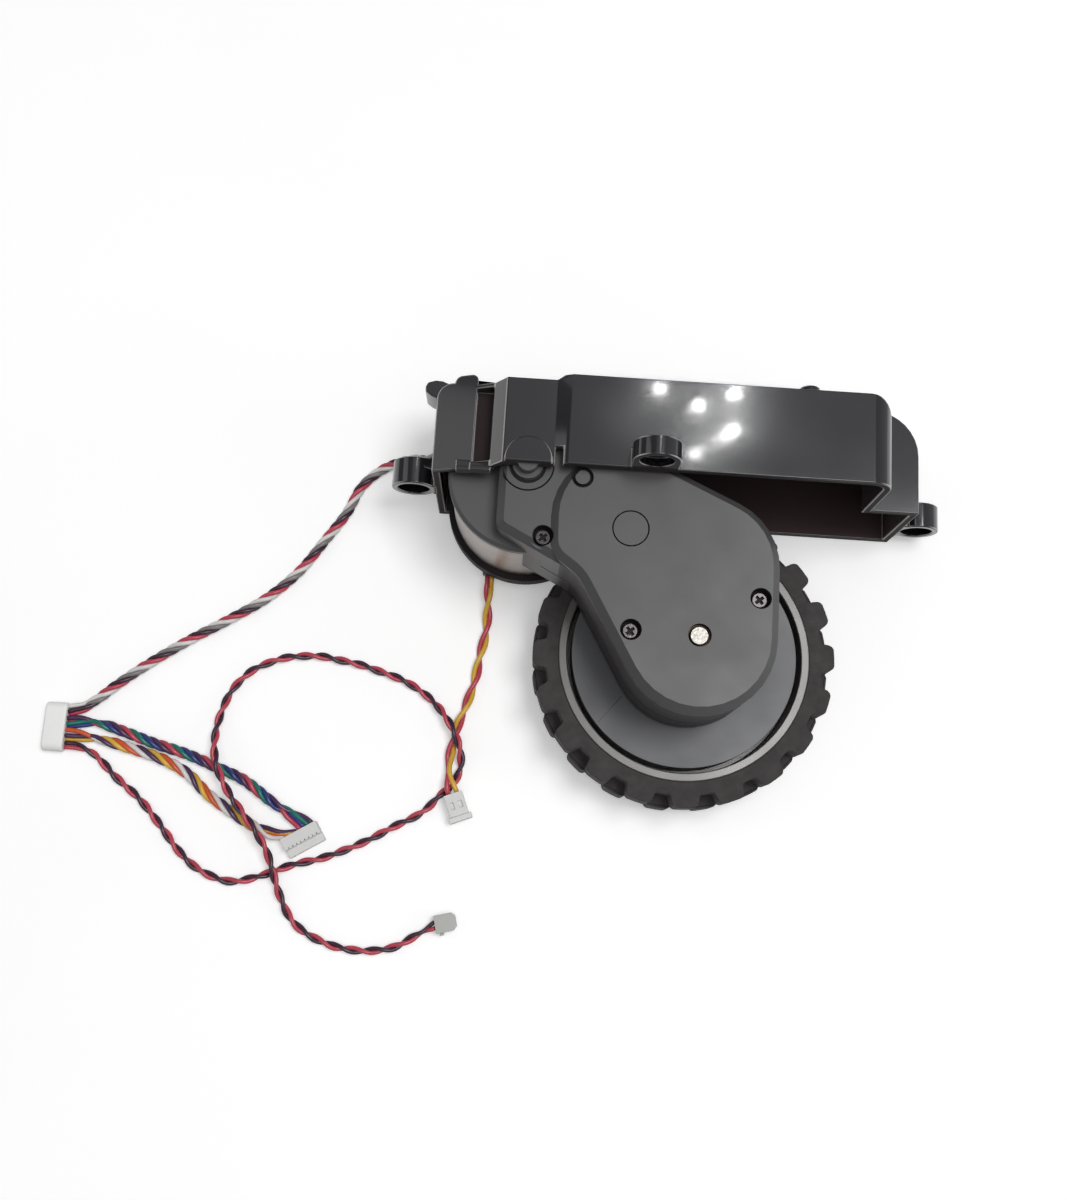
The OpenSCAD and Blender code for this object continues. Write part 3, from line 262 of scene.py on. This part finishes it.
# painted shade, dark and matte: the gearbox cover's screw wells, then its two round grooves, the axle's hole and the
# two rings round the pivot
COVER_FACE, LEFT_FACE = 41.8, 40.2
SCREWS = [(4.1, -15.2, LEFT_FACE), (23.4, -34.5, COVER_FACE), (50.2, -26.2, COVER_FACE)]
WELL_R = 2.35
COVER_DEEP = [(x, y, 0, WELL_R, face - 3.3, face - 0.2) for x, y, face in SCREWS]
COVER_DEEP += [(11.76, -2.39, 1.4, 2.4, COVER_FACE - 1.3, COVER_FACE - 0.1),
               (22.44, -12.92, 3.5, 4.1, COVER_FACE - 0.8, COVER_FACE - 0.1),
               (37.7, -34.8, 0, 2.6, COVER_FACE - 5, COVER_FACE - 0.15),
               (0, 0, 5.25, 5.8, LEFT_FACE - 0.8, LEFT_FACE - 0.1),
               (0, 0, 3.3, 4, LEFT_FACE - 0.8, LEFT_FACE + 0.05)]
# painted shade: the cover's side walls, below its top, a darker grey than the top
COVER_WALLS_PAINTED_SHADE = [((8, -62, 20), (62, 12, 38.5))]
# painted light: the motor's flange with the wall of the waist beside it keep a lit grey on the case's side, which has
# painted shade; painted shade: dark on the cross in each cover screw's head, down in its well
FLANGE_PAINTED_LIGHT = [(0, 0, 0, 17.6, 20, 38), ((0, -26, 20), (10.6, -12, 38))]
SCREW_DEEP = [(x, y, 0, WELL_R, face - 3.2, face - 1.95) for x, y, face in SCREWS]


def painted_edge_highlight():
    """The housing's rounded edges, with a painted highlight: paler where they face sideways."""
    mat, tree, shader = new_tree("painted_edge_highlight")
    place = tree.nodes.new("ShaderNodeTexCoord")
    split = tree.nodes.new("ShaderNodeSeparateXYZ")
    tree.links.new(place.outputs["Normal"], split.inputs[0])
    sideways = maths(tree, "ABSOLUTE", split.outputs["X"])
    tree.links.new(ramp(tree, sideways, (0.016, 0.014, 0.015), (0.5, 0.49, 0.48), 0.3, 0.65),
                   shader.inputs["Base Color"])
    tree.links.new(spread(tree, noise(tree, place.outputs["Object"], 0.004), 0.14, 0.22),
                   shader.inputs["Roughness"])
    return mat


MAT = {
    "gloss_black": surface("gloss_black", (0.0095, 0.0085, 0.011), 0.12, shade=0.03, patch=0.03, grain=0.004,
                           depth=0.0000006, coat=0.6, coat_rough=0.055,
                           parts=[(PALE_BROWN, 0.9, HOUSING_ROOM), (BROWN, 0.9, HOUSING_SLOTS)]),
    "case_grey": surface("case_grey", (0.068, 0.068, 0.07), 0.4, shade=0.02, patch=0.03, grain=0.0003,
                         depth=0.000012, specular=0.45,
                         parts=[((0.025, 0.022, 0.024), 0.5, COVER_WALLS_PAINTED_SHADE), (DARK, 0.9, COVER_DEEP)]),
    # painted shade: the gearbox case's sides, a darker copy of the cover's grey, with painted light on the motor's
    # flange
    "case_side_painted_shade": surface("case_side_painted_shade", (0.024, 0.021, 0.023), 0.45, shade=0.04, patch=0.03, grain=0.0003,
                         depth=0.000012, specular=0.4, parts=[((0.075, 0.074, 0.075), 0.4, FLANGE_PAINTED_LIGHT)]),
    "matt_black": surface("matt_black", (0.03, 0.03, 0.031), 0.5, grain=0.0005),
    "cap_black": surface("cap_black", (0.016, 0.012, 0.014), 0.6, shade=0.05, patch=0.03, specular=0.2),
    "painted_edge_highlight": painted_edge_highlight(),
    "bush_plastic": surface("bush_plastic", (0.6, 0.56, 0.46), 0.45),
    "bronze": surface("bronze", (0.55, 0.38, 0.18), 0.4, metal=0.9),
    "brass": surface("brass", (0.75, 0.58, 0.26), 0.3, metal=1.0),
    "steel": surface("steel", (0.44, 0.42, 0.39), 0.34, metal=1.0, shade=0.06, grain=0.0002),
    "axle_steel": surface("axle_steel", (0.2, 0.19, 0.175), 0.3, metal=1.0, shade=0.3, patch=0.0009, grain=0.0005,
                          depth=0.00003),
    "dark_bronze": surface("dark_bronze", (0.1, 0.06, 0.04), 0.6, metal=0.7),
    "spring_steel": surface("spring_steel", (0.4, 0.4, 0.42), 0.3, metal=1.0),
    # painted shade: dark on the cross in each cover screw's head, down in its well
    "black_steel": surface("black_steel", (0.075, 0.064, 0.069), 0.22, shade=0.05, metal=0.5, grain=0.0006,
                           depth=0.000006, parts=[(DARK, 0.6, SCREW_DEEP)]),
    "motor_steel": surface("motor_steel", (0.36, 0.325, 0.3), 0.36, metal=1.0, shade=0.06, grain=0.0006,
                           stretch=(1, 1, 8)),
    "lamination": surface("lamination", (0.3, 0.3, 0.32), 0.4, metal=0.9, patch=0.0005, stretch=(0.05, 0.05, 1)),
    "copper": surface("copper", (0.7, 0.34, 0.16), 0.35, metal=0.9, patch=0.0006, shade=0.3),
    "carbon": surface("carbon", (0.04, 0.04, 0.042), 0.7),
    "magnet": surface("magnet", (0.07, 0.07, 0.075), 0.6, grain=0.0006, depth=0.00003),
    "board": surface("board", (0.02, 0.17, 0.06), 0.4, shade=0.2, patch=0.003),
    "gear_white": surface("gear_white", (0.78, 0.78, 0.73), 0.4, shade=0.04),
    "gear_blue": surface("gear_blue", (0.06, 0.14, 0.42), 0.4),
    "rim_grey": surface("rim_grey", (0.085, 0.077, 0.07), 0.3, shade=0.04, grain=0.0003, patch=0.03, specular=0.7),
    "disc_grey": surface("disc_grey", (0.08, 0.081, 0.087), 0.42, shade=0.03, grain=0.0003, patch=0.03,
                         line=((19.1, -51.1), (24.2, -44.9), 0.16)),
    "tyre_rubber": surface("tyre_rubber", (0.052, 0.047, 0.047), 0.78, shade=0.14, patch=0.004, grain=0.0004,
                           depth=0.00004, specular=0.3),
    "nylon": surface("nylon", (0.7, 0.7, 0.69), 0.4, shade=0.03, patch=0.003),
    "nylon_grey": surface("nylon_grey", (0.45, 0.45, 0.43), 0.4, shade=0.03, patch=0.003),
    "white_sleeve": surface("white_sleeve", (0.95, 0.95, 0.94), 0.5, shade=0.03, grain=0.0008, depth=0.00002),
    "sleeve": surface("sleeve", (0.022, 0.022, 0.023), 0.5, grain=0.0008, depth=0.00002),
}

WIRES = {
    "red": (0.52, 0.058, 0.092), "black": (0.045, 0.015, 0.035), "white": (0.75, 0.73, 0.72),
    "grey": (0.22, 0.2, 0.2), "yellow": (0.72, 0.42, 0.05), "orange": (0.64, 0.1, 0.03), "blue": (0.03, 0.045, 0.2),
    "green": (0.01, 0.17, 0.14), "purple": (0.07, 0.026, 0.085),
}
for hue, value in WIRES.items():
    MAT["wire_" + hue] = surface("wire_" + hue, value, 0.28, shade=0.1, patch=0.004, grain=0.0006)

LOOKS = {
    "housing": "gloss_black", "pivot_bush": "bush_plastic", "wire_grommet": "sleeve", "drop_switch": "matt_black",
    "switch_screws": "steel", "return_spring": "spring_steel", "switch_lever": "steel", "gearbox_cover": "case_grey",
    "gearbox_case": "case_side_painted_shade", "cover_screws": "black_steel", "motor_can": "motor_steel",
    "motor_end_bell": "matt_black", "motor_magnets": "magnet", "motor_brushes": "carbon", "motor_bushes": "bronze",
    "motor_screws": "steel", "motor_rear_cap": "cap_black", "rear_cap_screws": "steel", "encoder_board": "board",
    "motor_lead_gland": "sleeve", "gear_shaft_1": "steel", "gear_shaft_2": "steel", "gear_shaft_3": "steel",
    "axle_bush_front": "dark_bronze", "axle_bush_rear": "bronze", "motor_shaft": "steel", "armature_core": "lamination",
    "armature_windings": "copper", "commutator": "copper", "encoder_magnet": "magnet", "motor_pinion": "brass",
    "gear_1": "gear_white", "gear_2": "gear_white", "gear_3": "gear_blue", "wheel_axle": "axle_steel",
    "output_gear": "gear_white", "wheel_rim": "rim_grey", "wheel_disc": "disc_grey", "tyre": "tyre_rubber",
    "wheel_cap": "disc_grey", "wheel_screw": "steel", "main_cord": "wire_red", "harness_sleeve": "white_sleeve",
    "switch_cord": "wire_red", "switch_connector": "nylon_grey", "signal_cord_1": "wire_blue",
    "signal_cord_2": "wire_yellow", "signal_connector": "nylon", "motor_cord": "wire_orange",
    "motor_connector": "nylon",
}
for name, look in LOOKS.items():
    nodes[name].data.materials.clear()
    nodes[name].data.materials.append(MAT[look])
# the housing's second material, with its painted highlight, goes on its rounded edges alone, in soften()
nodes["housing"].data.materials.append(MAT["painted_edge_highlight"])


# cords: routes as in the CAD, in millimetres from the arm's pivot
SLEEVE_X = -103
ROUTES = {
    "main_cord": [
        (-23, 11.8, 4), (-29, 11.6, 2.6), (-35, 9.4, 1.6), (-40, 4.6, 1.3), (-43, -2.2, 1.3), (-47.6, -9.4, 1.3),
        (-53, -17.4, 1.3), (-60, -24.4, 1.3), (-68.4, -30.2, 1.3), (-77.6, -36, 1.3), (-86.6, -42.4, 1.3),
        (-93, -47.6, 1.3), (-98.4, -52.4, 1.4), (SLEEVE_X, -54.2, 1.7)],
    "switch_cord": [
        (SLEEVE_X, -62.2, 1.6), (-99.6, -62.4, 1.2), (-95.6, -64.2, 1), (-90.4, -68.8, 1), (-84.4, -73.4, 1),
        (-78.8, -79.2, 1), (-74.2, -84.4, 1), (-69, -88.4, 1), (-62, -90.6, 1), (-55.6, -89.2, 1), (-48.2, -86.2, 1),
        (-42, -84.4, 1), (-36.6, -82.2, 1), (-31, -79.4, 1), (-25.4, -76, 1), (-21, -73.6, 1), (-18, -71.2, 1),
        (-15.5, -68.2, 1), (-13.5, -66.6, 1), (-12, -64.2, 1.05), (-11.2, -61.2, 1.5), (-11.5, -58, 2.9),
        (-12.8, -54.6, 3.7), (-15.2, -50.6, 3), (-18.2, -47.2, 1.6), (-21.8, -44.4, 1), (-26.4, -42, 1),
        (-31.6, -40.4, 1), (-36.6, -39, 1), (-41.8, -38.2, 1), (-46, -37.6, 1), (-50, -37.8, 1),
        (-54, -38.4, 1), (-57.8, -39.8, 1), (-61.2, -41.6, 1), (-63.8, -44, 1), (-66, -47, 1), (-67.4, -50.6, 1),
        (-68.2, -55, 2), (-68, -60, 4), (-67, -64.4, 5), (-65, -68.4, 5), (-62.4, -72.2, 5), (-59.4, -75.6, 5),
        (-56.4, -79.2, 5), (-53.8, -83, 4), (-52, -87.4, 3.4), (-50.4, -92, 2.2), (-47.6, -97.4, 1),
        (-44, -100.6, 1), (-39, -102.8, 1), (-34.6, -103.8, 1), (-29.2, -104, 1), (-23.2, -102.8, 1),
        (-18.6, -100, 1.2), (-14.4, -97.4, 1.6)],
    "signal_cord_1": [
        (SLEEVE_X, -57, 1.6), (-99, -56.4, 1.4), (-95, -56.8, 1.4), (-89.2, -58.4, 1.4), (-82.8, -60.4, 1.4),
        (-74.4, -62.6, 1.4), (-67.8, -65, 1.4), (-61, -67.6, 1.4), (-54.4, -72, 1.4), (-49.4, -75.6, 1.6),
        (-46.6, -77.9, 1.8)],
    "signal_cord_2": [
        (SLEEVE_X, -59.7, 1.6), (-99, -59.8, 1.4), (-94.8, -60.4, 1.4), (-88.6, -61.8, 1.4), (-80.4, -64, 1.4),
        (-74, -67, 1.4), (-68.8, -71.4, 1.4), (-63.4, -74.8, 1.4), (-57.6, -78, 1.4), (-52.8, -79.8, 1.6),
        (-49.5, -79.8, 1.8)],
    "motor_cord": [
        (-7.5, -16.35, 3.8), (-7.55, -20.9, 3.6), (-7.5, -23.4, 2.4), (-7.4, -26.4, 1.4), (-7.6, -30, 1.2),
        (-8.6, -35.4, 1.2), (-9.4, -41.4, 1.2), (-11.2, -47.8, 1.2), (-12.8, -52.8, 1.2), (-13.7, -57.8, 1.3),
        (-13.9, -61, 1.9), (-13.7, -64, 3), (-13.2, -66.2, 3.4), (-12.5, -67.9, 3.1)],
}
# overall thickness, turns' length, wires round the middle
TWISTS = {
    "main_cord": (2.5, 11.0, ("red", "black", "grey", "white")),
    "switch_cord": (2.0, 8.8, ("red", "black")),
    "signal_cord_1": (2.7, 11.0, ("blue", "green", "red", "purple")),
    "signal_cord_2": (2.7, 11.0, ("yellow", "purple", "white", "orange")),
    "motor_cord": (2.4, 13.0, ("red", "yellow")),
}
STEP = 0.8
CURVE_STEPS = 16
WIRE_SIDES = 10


def row(count, spacing, angle, lift=0.0):
    """Places of a cord's wires side by side, from one side to the other, with every second one lifted."""
    a = math.radians(angle)
    return [Vector((math.cos(a), math.sin(a), 0)) * (k - (count - 1) / 2) * spacing
            + Vector((0, 0, lift if k % 2 else -lift)) for k in range(count)]


SIGNAL_TURN, SWITCH_TURN, MOTOR_TURN = 32, 105, 22
signal_row = row(8, 1.0, SIGNAL_TURN)
SIGNAL_AT = Vector((-47.2, -78.3, 1.8))


def into_signal(name, order):
    end = Vector(ROUTES[name][-1])
    return [SIGNAL_AT + signal_row[k] - end for k in order]


# for each end of a cord, the length of the stretch where its wires fan out side by side, and their places there
FANS = {
    "main_cord": ((3.0, row(4, 0.62, 90, 0.42)), (9.0, row(4, 0.62, 90, 0.42))),
    "switch_cord": ((9.0, row(2, 1.0, 90)), (5.0, row(2, 1.3, SWITCH_TURN))),
    "signal_cord_1": ((12.0, row(4, 0.66, 90, 0.44)), (11.0, into_signal("signal_cord_1", (5, 6, 4, 7)))),
    "signal_cord_2": ((12.0, row(4, 0.66, 90, 0.44)), (9.0, into_signal("signal_cord_2", (2, 3, 0, 1)))),
    "motor_cord": ((3.0, row(2, 1.2, 0)), (9.0, row(2, 2.0, MOTOR_TURN))),
}


def smooth(points, step):
    """Evenly spaced points on a curve through the given points."""
    pts = [Vector(p) for p in points]
    ends = [pts[0] * 2 - pts[1]] + pts + [pts[-1] * 2 - pts[-2]]
    dense = []
    for a, b, c, d in zip(ends, ends[1:], ends[2:], ends[3:]):
        for k in range(CURVE_STEPS):
            t = k / CURVE_STEPS
            dense.append(0.5 * (2 * b + (c - a) * t + (2 * a - 5 * b + 4 * c - d) * t ** 2
                                + (3 * b - a - 3 * c + d) * t ** 3))
    dense.append(pts[-1])
    total = sum((q - p).length for p, q in zip(dense, dense[1:]))
    count = max(2, round(total / step))
    out, walked, target = [dense[0]], 0.0, total / count
    for p, q in zip(dense, dense[1:]):
        leg = (q - p).length
        while walked + leg >= target - 1e-9 and len(out) < count:
            out.append(p.lerp(q, (target - walked) / leg if leg else 0))
            target += total / count
        walked += leg
    out.append(dense[-1])
    return out, total


def ease(t):
    t = min(1, max(0, t))
    return t * t * (3 - 2 * t)


def carried_frames(line):
    """Side vectors along a line, carried from point to point without turning."""
    sides = []
    side = Vector((0, 0, 1))
    for i, p in enumerate(line):
        ahead = (line[min(i + 1, len(line) - 1)] - line[max(i - 1, 0)]).normalized()
        side = (side - ahead * side.dot(ahead)).normalized()
        sides.append((side, ahead.cross(side)))
    return sides


def add_tube(bm, line, radius, sides, material=0):
    """Tube along a line, closed at its ends."""
    rings = []
    for p, (u, v) in zip(line, carried_frames(line)):
        rings.append([bm.verts.new(p + (u * math.cos(a) + v * math.sin(a)) * radius)
                      for a in (2 * math.pi * k / sides for k in range(sides))])
    faces = [bm.faces.new(reversed(rings[0])), bm.faces.new(rings[-1])]
    for low, high in zip(rings, rings[1:]):
        for k in range(sides):
            faces.append(bm.faces.new((low[k], low[(k + 1) % sides], high[(k + 1) % sides], high[k])))
    for f in faces:
        f.material_index = material
        f.smooth = True
    return rings


def make_object(name, bm, materials):
    bmesh.ops.recalc_face_normals(bm, faces=bm.faces)
    mesh = bpy.data.meshes.new(name)
    bm.to_mesh(mesh)
    bm.free()
    obj = bpy.data.objects.new(name, mesh)
    bpy.context.scene.collection.objects.link(obj)
    for m in materials:
        mesh.materials.append(MAT[m])
    return obj


def twisted(name):
    """The wires of one cord, twisted round its route."""
    width, pitch, wires = TWISTS[name]
    line, total = smooth(ROUTES[name], STEP)
    # wires touch each other: two lie side by side, four in a square
    share = 0.5 if len(wires) == 2 else 1 / (1 + math.sqrt(2))
    wire_r = width / 2 * share
    offset = width / 2 - wire_r
    bm = bmesh.new()
    sides = carried_frames(line)
    lead = total / max(1, round(total / pitch))
    (start_long, start_row), (end_long, end_row) = FANS[name]
    for w in range(len(wires)):
        path = []
        for i, (p, (u, v)) in enumerate(zip(line, sides)):
            walked = i * total / (len(line) - 1)
            a = 2 * math.pi * (walked / lead + w / len(wires))
            turned = (u * math.cos(a) + v * math.sin(a)) * offset
            near_start = ease(1 - walked / start_long)
            near_end = ease(1 - (total - walked) / end_long)
            path.append(at(*(p + turned * (1 - near_start - near_end) + start_row[w] * near_start
                             + end_row[w] * near_end)))
        add_tube(bm, path, wire_r * MM, WIRE_SIDES, w)
    piece = make_object(name + "_wires", bm, ["wire_" + c for c in wires])
    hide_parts(name)
    centre = [at(*p) for p in line]
    return piece, centre, total


# what is on the far end, the CAD piece that it is, and the slot's name
CORD_ENDS = {
    "main_cord": ("fitting", "harness_sleeve", "main_wires"),
    "switch_cord": ("connector", "switch_connector", "switch_wires"),
    "signal_cord_1": ("connector", "signal_connector", "signal_wires_1"),
    "signal_cord_2": ("connector", "signal_connector", "signal_wires_2"),
    "motor_cord": ("connector", "motor_connector", "motor_wires"),
}
for name, (far_end, end_piece, slot) in CORD_ENDS.items():
    piece, centre, total = twisted(name)
    # the motor's lead leaves the arm's gland and lies still further on; the others stay with the housing
    if name == "motor_cord":
        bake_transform(piece)
    else:
        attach(piece, "housing")


# return spring, one piece that stays where it is: the lower leg lies on the housing, the upper one on the arm
SPRING_R, SPRING_WIRE, SPRING_LOW, SPRING_RISE, SPRING_TURNS = 7.2, 1.2, 3.3, 1.25, 3.5
SPRING_STEPS = 168
LOW_LEG = (9.4, 7.5, 5.6, 3.7, 1.8)
TOP_LEG = (1.8, 3.7, 5.6, 7.5, 8.4)


def add_spring():
    top = SPRING_LOW + SPRING_TURNS * SPRING_RISE
    line = [Vector((SPRING_R, y, SPRING_LOW)) for y in LOW_LEG]
    for k in range(SPRING_STEPS + 1):
        a = -2 * math.pi * SPRING_TURNS * k / SPRING_STEPS
        rise = (top - SPRING_LOW) * k / SPRING_STEPS
        line.append(Vector((SPRING_R * math.cos(a), SPRING_R * math.sin(a), SPRING_LOW + rise)))
    line += [Vector((-SPRING_R, y, top)) for y in TOP_LEG]
    bm = bmesh.new()
    add_tube(bm, [at(*p) for p in line], SPRING_WIRE / 2 * MM, WIRE_SIDES)
    spring = make_object("spring_coils", bm, ["spring_steel"])
    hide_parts("return_spring")
    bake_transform(spring)


add_spring()


# edges of the CAD nodes that the photograph shows soft
WELD_REACH = 2e-5
FLAT_ANGLE, BEVEL_ANGLE, SPLIT_ANGLE = 0.6, 28, 31
BEVEL_SEGMENTS = 3


def soften(name, width):
    """Rounds a CAD node's edges by a width in millimetres, or only shades them crisply where it is 0."""
    node = nodes[name]
    weld = node.modifiers.new("weld", "WELD")
    weld.merge_threshold = WELD_REACH
    flat = node.modifiers.new("flat", "DECIMATE")
    flat.decimate_type = "DISSOLVE"
    flat.angle_limit = math.radians(FLAT_ANGLE)
    if width:
        edge = node.modifiers.new("edge", "BEVEL")
        edge.width = width * MM
        edge.segments = BEVEL_SEGMENTS
        edge.limit_method = "ANGLE"
        edge.angle_limit = math.radians(BEVEL_ANGLE)
        edge.use_clamp_overlap = False
        edge.harden_normals = False
        if len(node.data.materials) > 1:
            edge.material = 1
    split = node.modifiers.new("split", "EDGE_SPLIT")
    split.split_angle = math.radians(SPLIT_ANGLE)
    shade = node.modifiers.new("shade", "WEIGHTED_NORMAL")
    shade.keep_sharp = True
    shade.weight = 100
    for p in node.data.polygons:
        p.use_smooth = True


SOFT_EDGES = {
    "housing": 0.3, "gearbox_cover": 0, "gearbox_case": 0, "tyre": 0.25, "wheel_rim": 0.25, "wheel_disc": 0.15,
    "wheel_axle": 0.25, "motor_can": 0.3, "motor_rear_cap": 0.25, "cover_screws": 0.1, "harness_sleeve": 0.5,
    "switch_connector": 0.12, "signal_connector": 0.12, "motor_connector": 0.15, "wheel_cap": 0.3,
    "motor_lead_gland": 0.3, "wire_grommet": 0.25,
}
for name, width in SOFT_EDGES.items():
    soften(name, width)


# light, floor and background
def add_lamp(name, where, target, wide, tall, power):
    data = bpy.data.lights.new(name, "AREA")
    data.shape = "RECTANGLE"
    data.size = wide
    data.size_y = tall
    data.energy = power
    lamp = bpy.data.objects.new(name, data)
    lamp.location = where
    lamp.rotation_euler = (Vector(target) - Vector(where)).to_track_quat("-Z", "Y").to_euler()
    bpy.context.scene.collection.objects.link(lamp)


MIDDLE = (0.0, 0.0, 0.02)
# place, width, height and power
LAMPS = {
    "key": ((0.34, 0.1, 1.2), 0.45, 0.45, 6.3),
    "overhead": ((0.0, -0.25, 1.3), 0.9, 0.6, 3.4),
    "ceiling": ((0.15, 0.5, 1.3), 0.8, 0.5, 0.4),
    "window": ((1.0, -0.15, 0.5), 0.25, 0.5, 0.8),
    "left": ((-0.9, 0.2, 0.75), 0.5, 0.5, 0.65),
}
for name, (where, wide, tall, power) in LAMPS.items():
    add_lamp(name, where, MIDDLE, wide, tall, power)

# small lamps that the housing's front face mirrors to the camera: pixel of the photograph, and power
SPOTS = [(630, 383, 0.13), (715, 388, 0.2), (675, 403, 0.15), (714, 431, 0.2), (695, 454, 0.08)]
SPOT_WIDE, SPOT_TALL = 0.012, 0.008
SPOT_AWAY = 2.0
FACE_LEVEL = 45 * MM
VIEW = (1067, 1200)


def mirrored(px, py):
    """Place that the front face mirrors to the camera at this pixel of the photograph, and the point of the face."""
    focal = LENS / SENSOR * VIEW[1]
    ray = camera.matrix_world.to_3x3() @ Vector((px - VIEW[0] / 2, VIEW[1] / 2 - py, -focal))
    point = CAMERA_AT + ray * ((FACE_LEVEL - CAMERA_AT.z) / ray.z)
    ray.normalize()
    return point + Vector((ray.x, ray.y, -ray.z)) * SPOT_AWAY, point


for i, (px, py, power) in enumerate(SPOTS):
    where, point = mirrored(px, py)
    add_lamp("spot_%d" % i, where, point, SPOT_WIDE, SPOT_TALL, power)


def seen_rays(tree):
    """1 for rays from the camera and for those that gloss or glass sends on, 0 for light."""
    ray = tree.nodes.new("ShaderNodeLightPath")
    total = ray.outputs["Is Camera Ray"]
    for name in ("Is Glossy Ray", "Is Transmission Ray"):
        total = maths(tree, "MAXIMUM", total, ray.outputs[name])
    return total


FLOOR_HALF, FLOOR_SQUARES = 6.0, 8
FLOOR_PATCH = 0.2
FLOOR_LOW, FLOOR_HIGH = (0.88, 0.88, 0.88), (0.92, 0.92, 0.92)
FLOOR_ROUGH = 0.9
FLOOR_GLOW = 0.28
FLOOR_DIM = (0.45, 0.45, 0.45, 1)


def floor_material():
    """White where it is seen, with the object's shadow on it, and dim in the light that it sends back."""
    mat, tree, shader = new_tree("floor_white")
    place = tree.nodes.new("ShaderNodeTexCoord")
    tree.links.new(ramp(tree, noise(tree, place.outputs["Object"], FLOOR_PATCH), FLOOR_LOW, FLOOR_HIGH),
                   shader.inputs["Base Color"])
    shader.inputs["Roughness"].default_value = FLOOR_ROUGH
    bright = tree.nodes.new("ShaderNodeEmission")
    bright.inputs["Color"].default_value = (1, 1, 1, 1)
    bright.inputs["Strength"].default_value = FLOOR_GLOW
    dim = tree.nodes.new("ShaderNodeBsdfDiffuse")
    dim.inputs["Color"].default_value = FLOOR_DIM
    both = tree.nodes.new("ShaderNodeAddShader")
    choice = tree.nodes.new("ShaderNodeMixShader")
    tree.links.new(shader.outputs[0], both.inputs[0])
    tree.links.new(bright.outputs[0], both.inputs[1])
    tree.links.new(seen_rays(tree), choice.inputs["Fac"])
    tree.links.new(dim.outputs[0], choice.inputs[1])
    tree.links.new(both.outputs[0], choice.inputs[2])
    surface_out = [n for n in tree.nodes if n.type == "OUTPUT_MATERIAL"][0]
    tree.links.new(choice.outputs[0], surface_out.inputs["Surface"])
    return mat


bm = bmesh.new()
bmesh.ops.create_grid(bm, x_segments=FLOOR_SQUARES, y_segments=FLOOR_SQUARES, size=FLOOR_HALF)
MAT["floor_white"] = floor_material()
floor = make_object("floor", bm, ["floor_white"])


# what the gloss sees: bright to the right, dim to the left and overhead; and the even light on everything
SKY_LEAN = (0.75, -0.35, -0.25)
SKY_FROM, SKY_TO = (-0.7, 0.6), (0.22, 0.6)
SKY_COLOUR = (0.93, 0.96, 1, 1)
FILL = 0.19


def add_world():
    world = bpy.data.worlds.new("world")
    bpy.context.scene.world = world
    world.use_nodes = True
    tree = world.node_tree
    tree.nodes.clear()
    out = tree.nodes.new("ShaderNodeOutputWorld")
    aim = tree.nodes.new("ShaderNodeTexCoord")
    lean = tree.nodes.new("ShaderNodeVectorMath")
    lean.operation = "DOT_PRODUCT"
    lean.inputs[1].default_value = SKY_LEAN
    tree.links.new(aim.outputs["Generated"], lean.inputs[0])
    sky = tree.nodes.new("ShaderNodeMapRange")
    sky.inputs["From Min"].default_value, sky.inputs["From Max"].default_value = SKY_FROM
    sky.inputs["To Min"].default_value, sky.inputs["To Max"].default_value = SKY_TO
    tree.links.new(lean.outputs["Value"], sky.inputs["Value"])
    seen = tree.nodes.new("ShaderNodeBackground")
    seen.inputs["Color"].default_value = SKY_COLOUR
    tree.links.new(sky.outputs["Result"], seen.inputs["Strength"])
    fill = tree.nodes.new("ShaderNodeBackground")
    fill.inputs["Color"].default_value = (1, 1, 1, 1)
    fill.inputs["Strength"].default_value = FILL
    mix = tree.nodes.new("ShaderNodeMixShader")
    tree.links.new(seen_rays(tree), mix.inputs["Fac"])
    tree.links.new(fill.outputs[0], mix.inputs[1])
    tree.links.new(seen.outputs[0], mix.inputs[2])
    tree.links.new(mix.outputs[0], out.inputs["Surface"])


add_world()
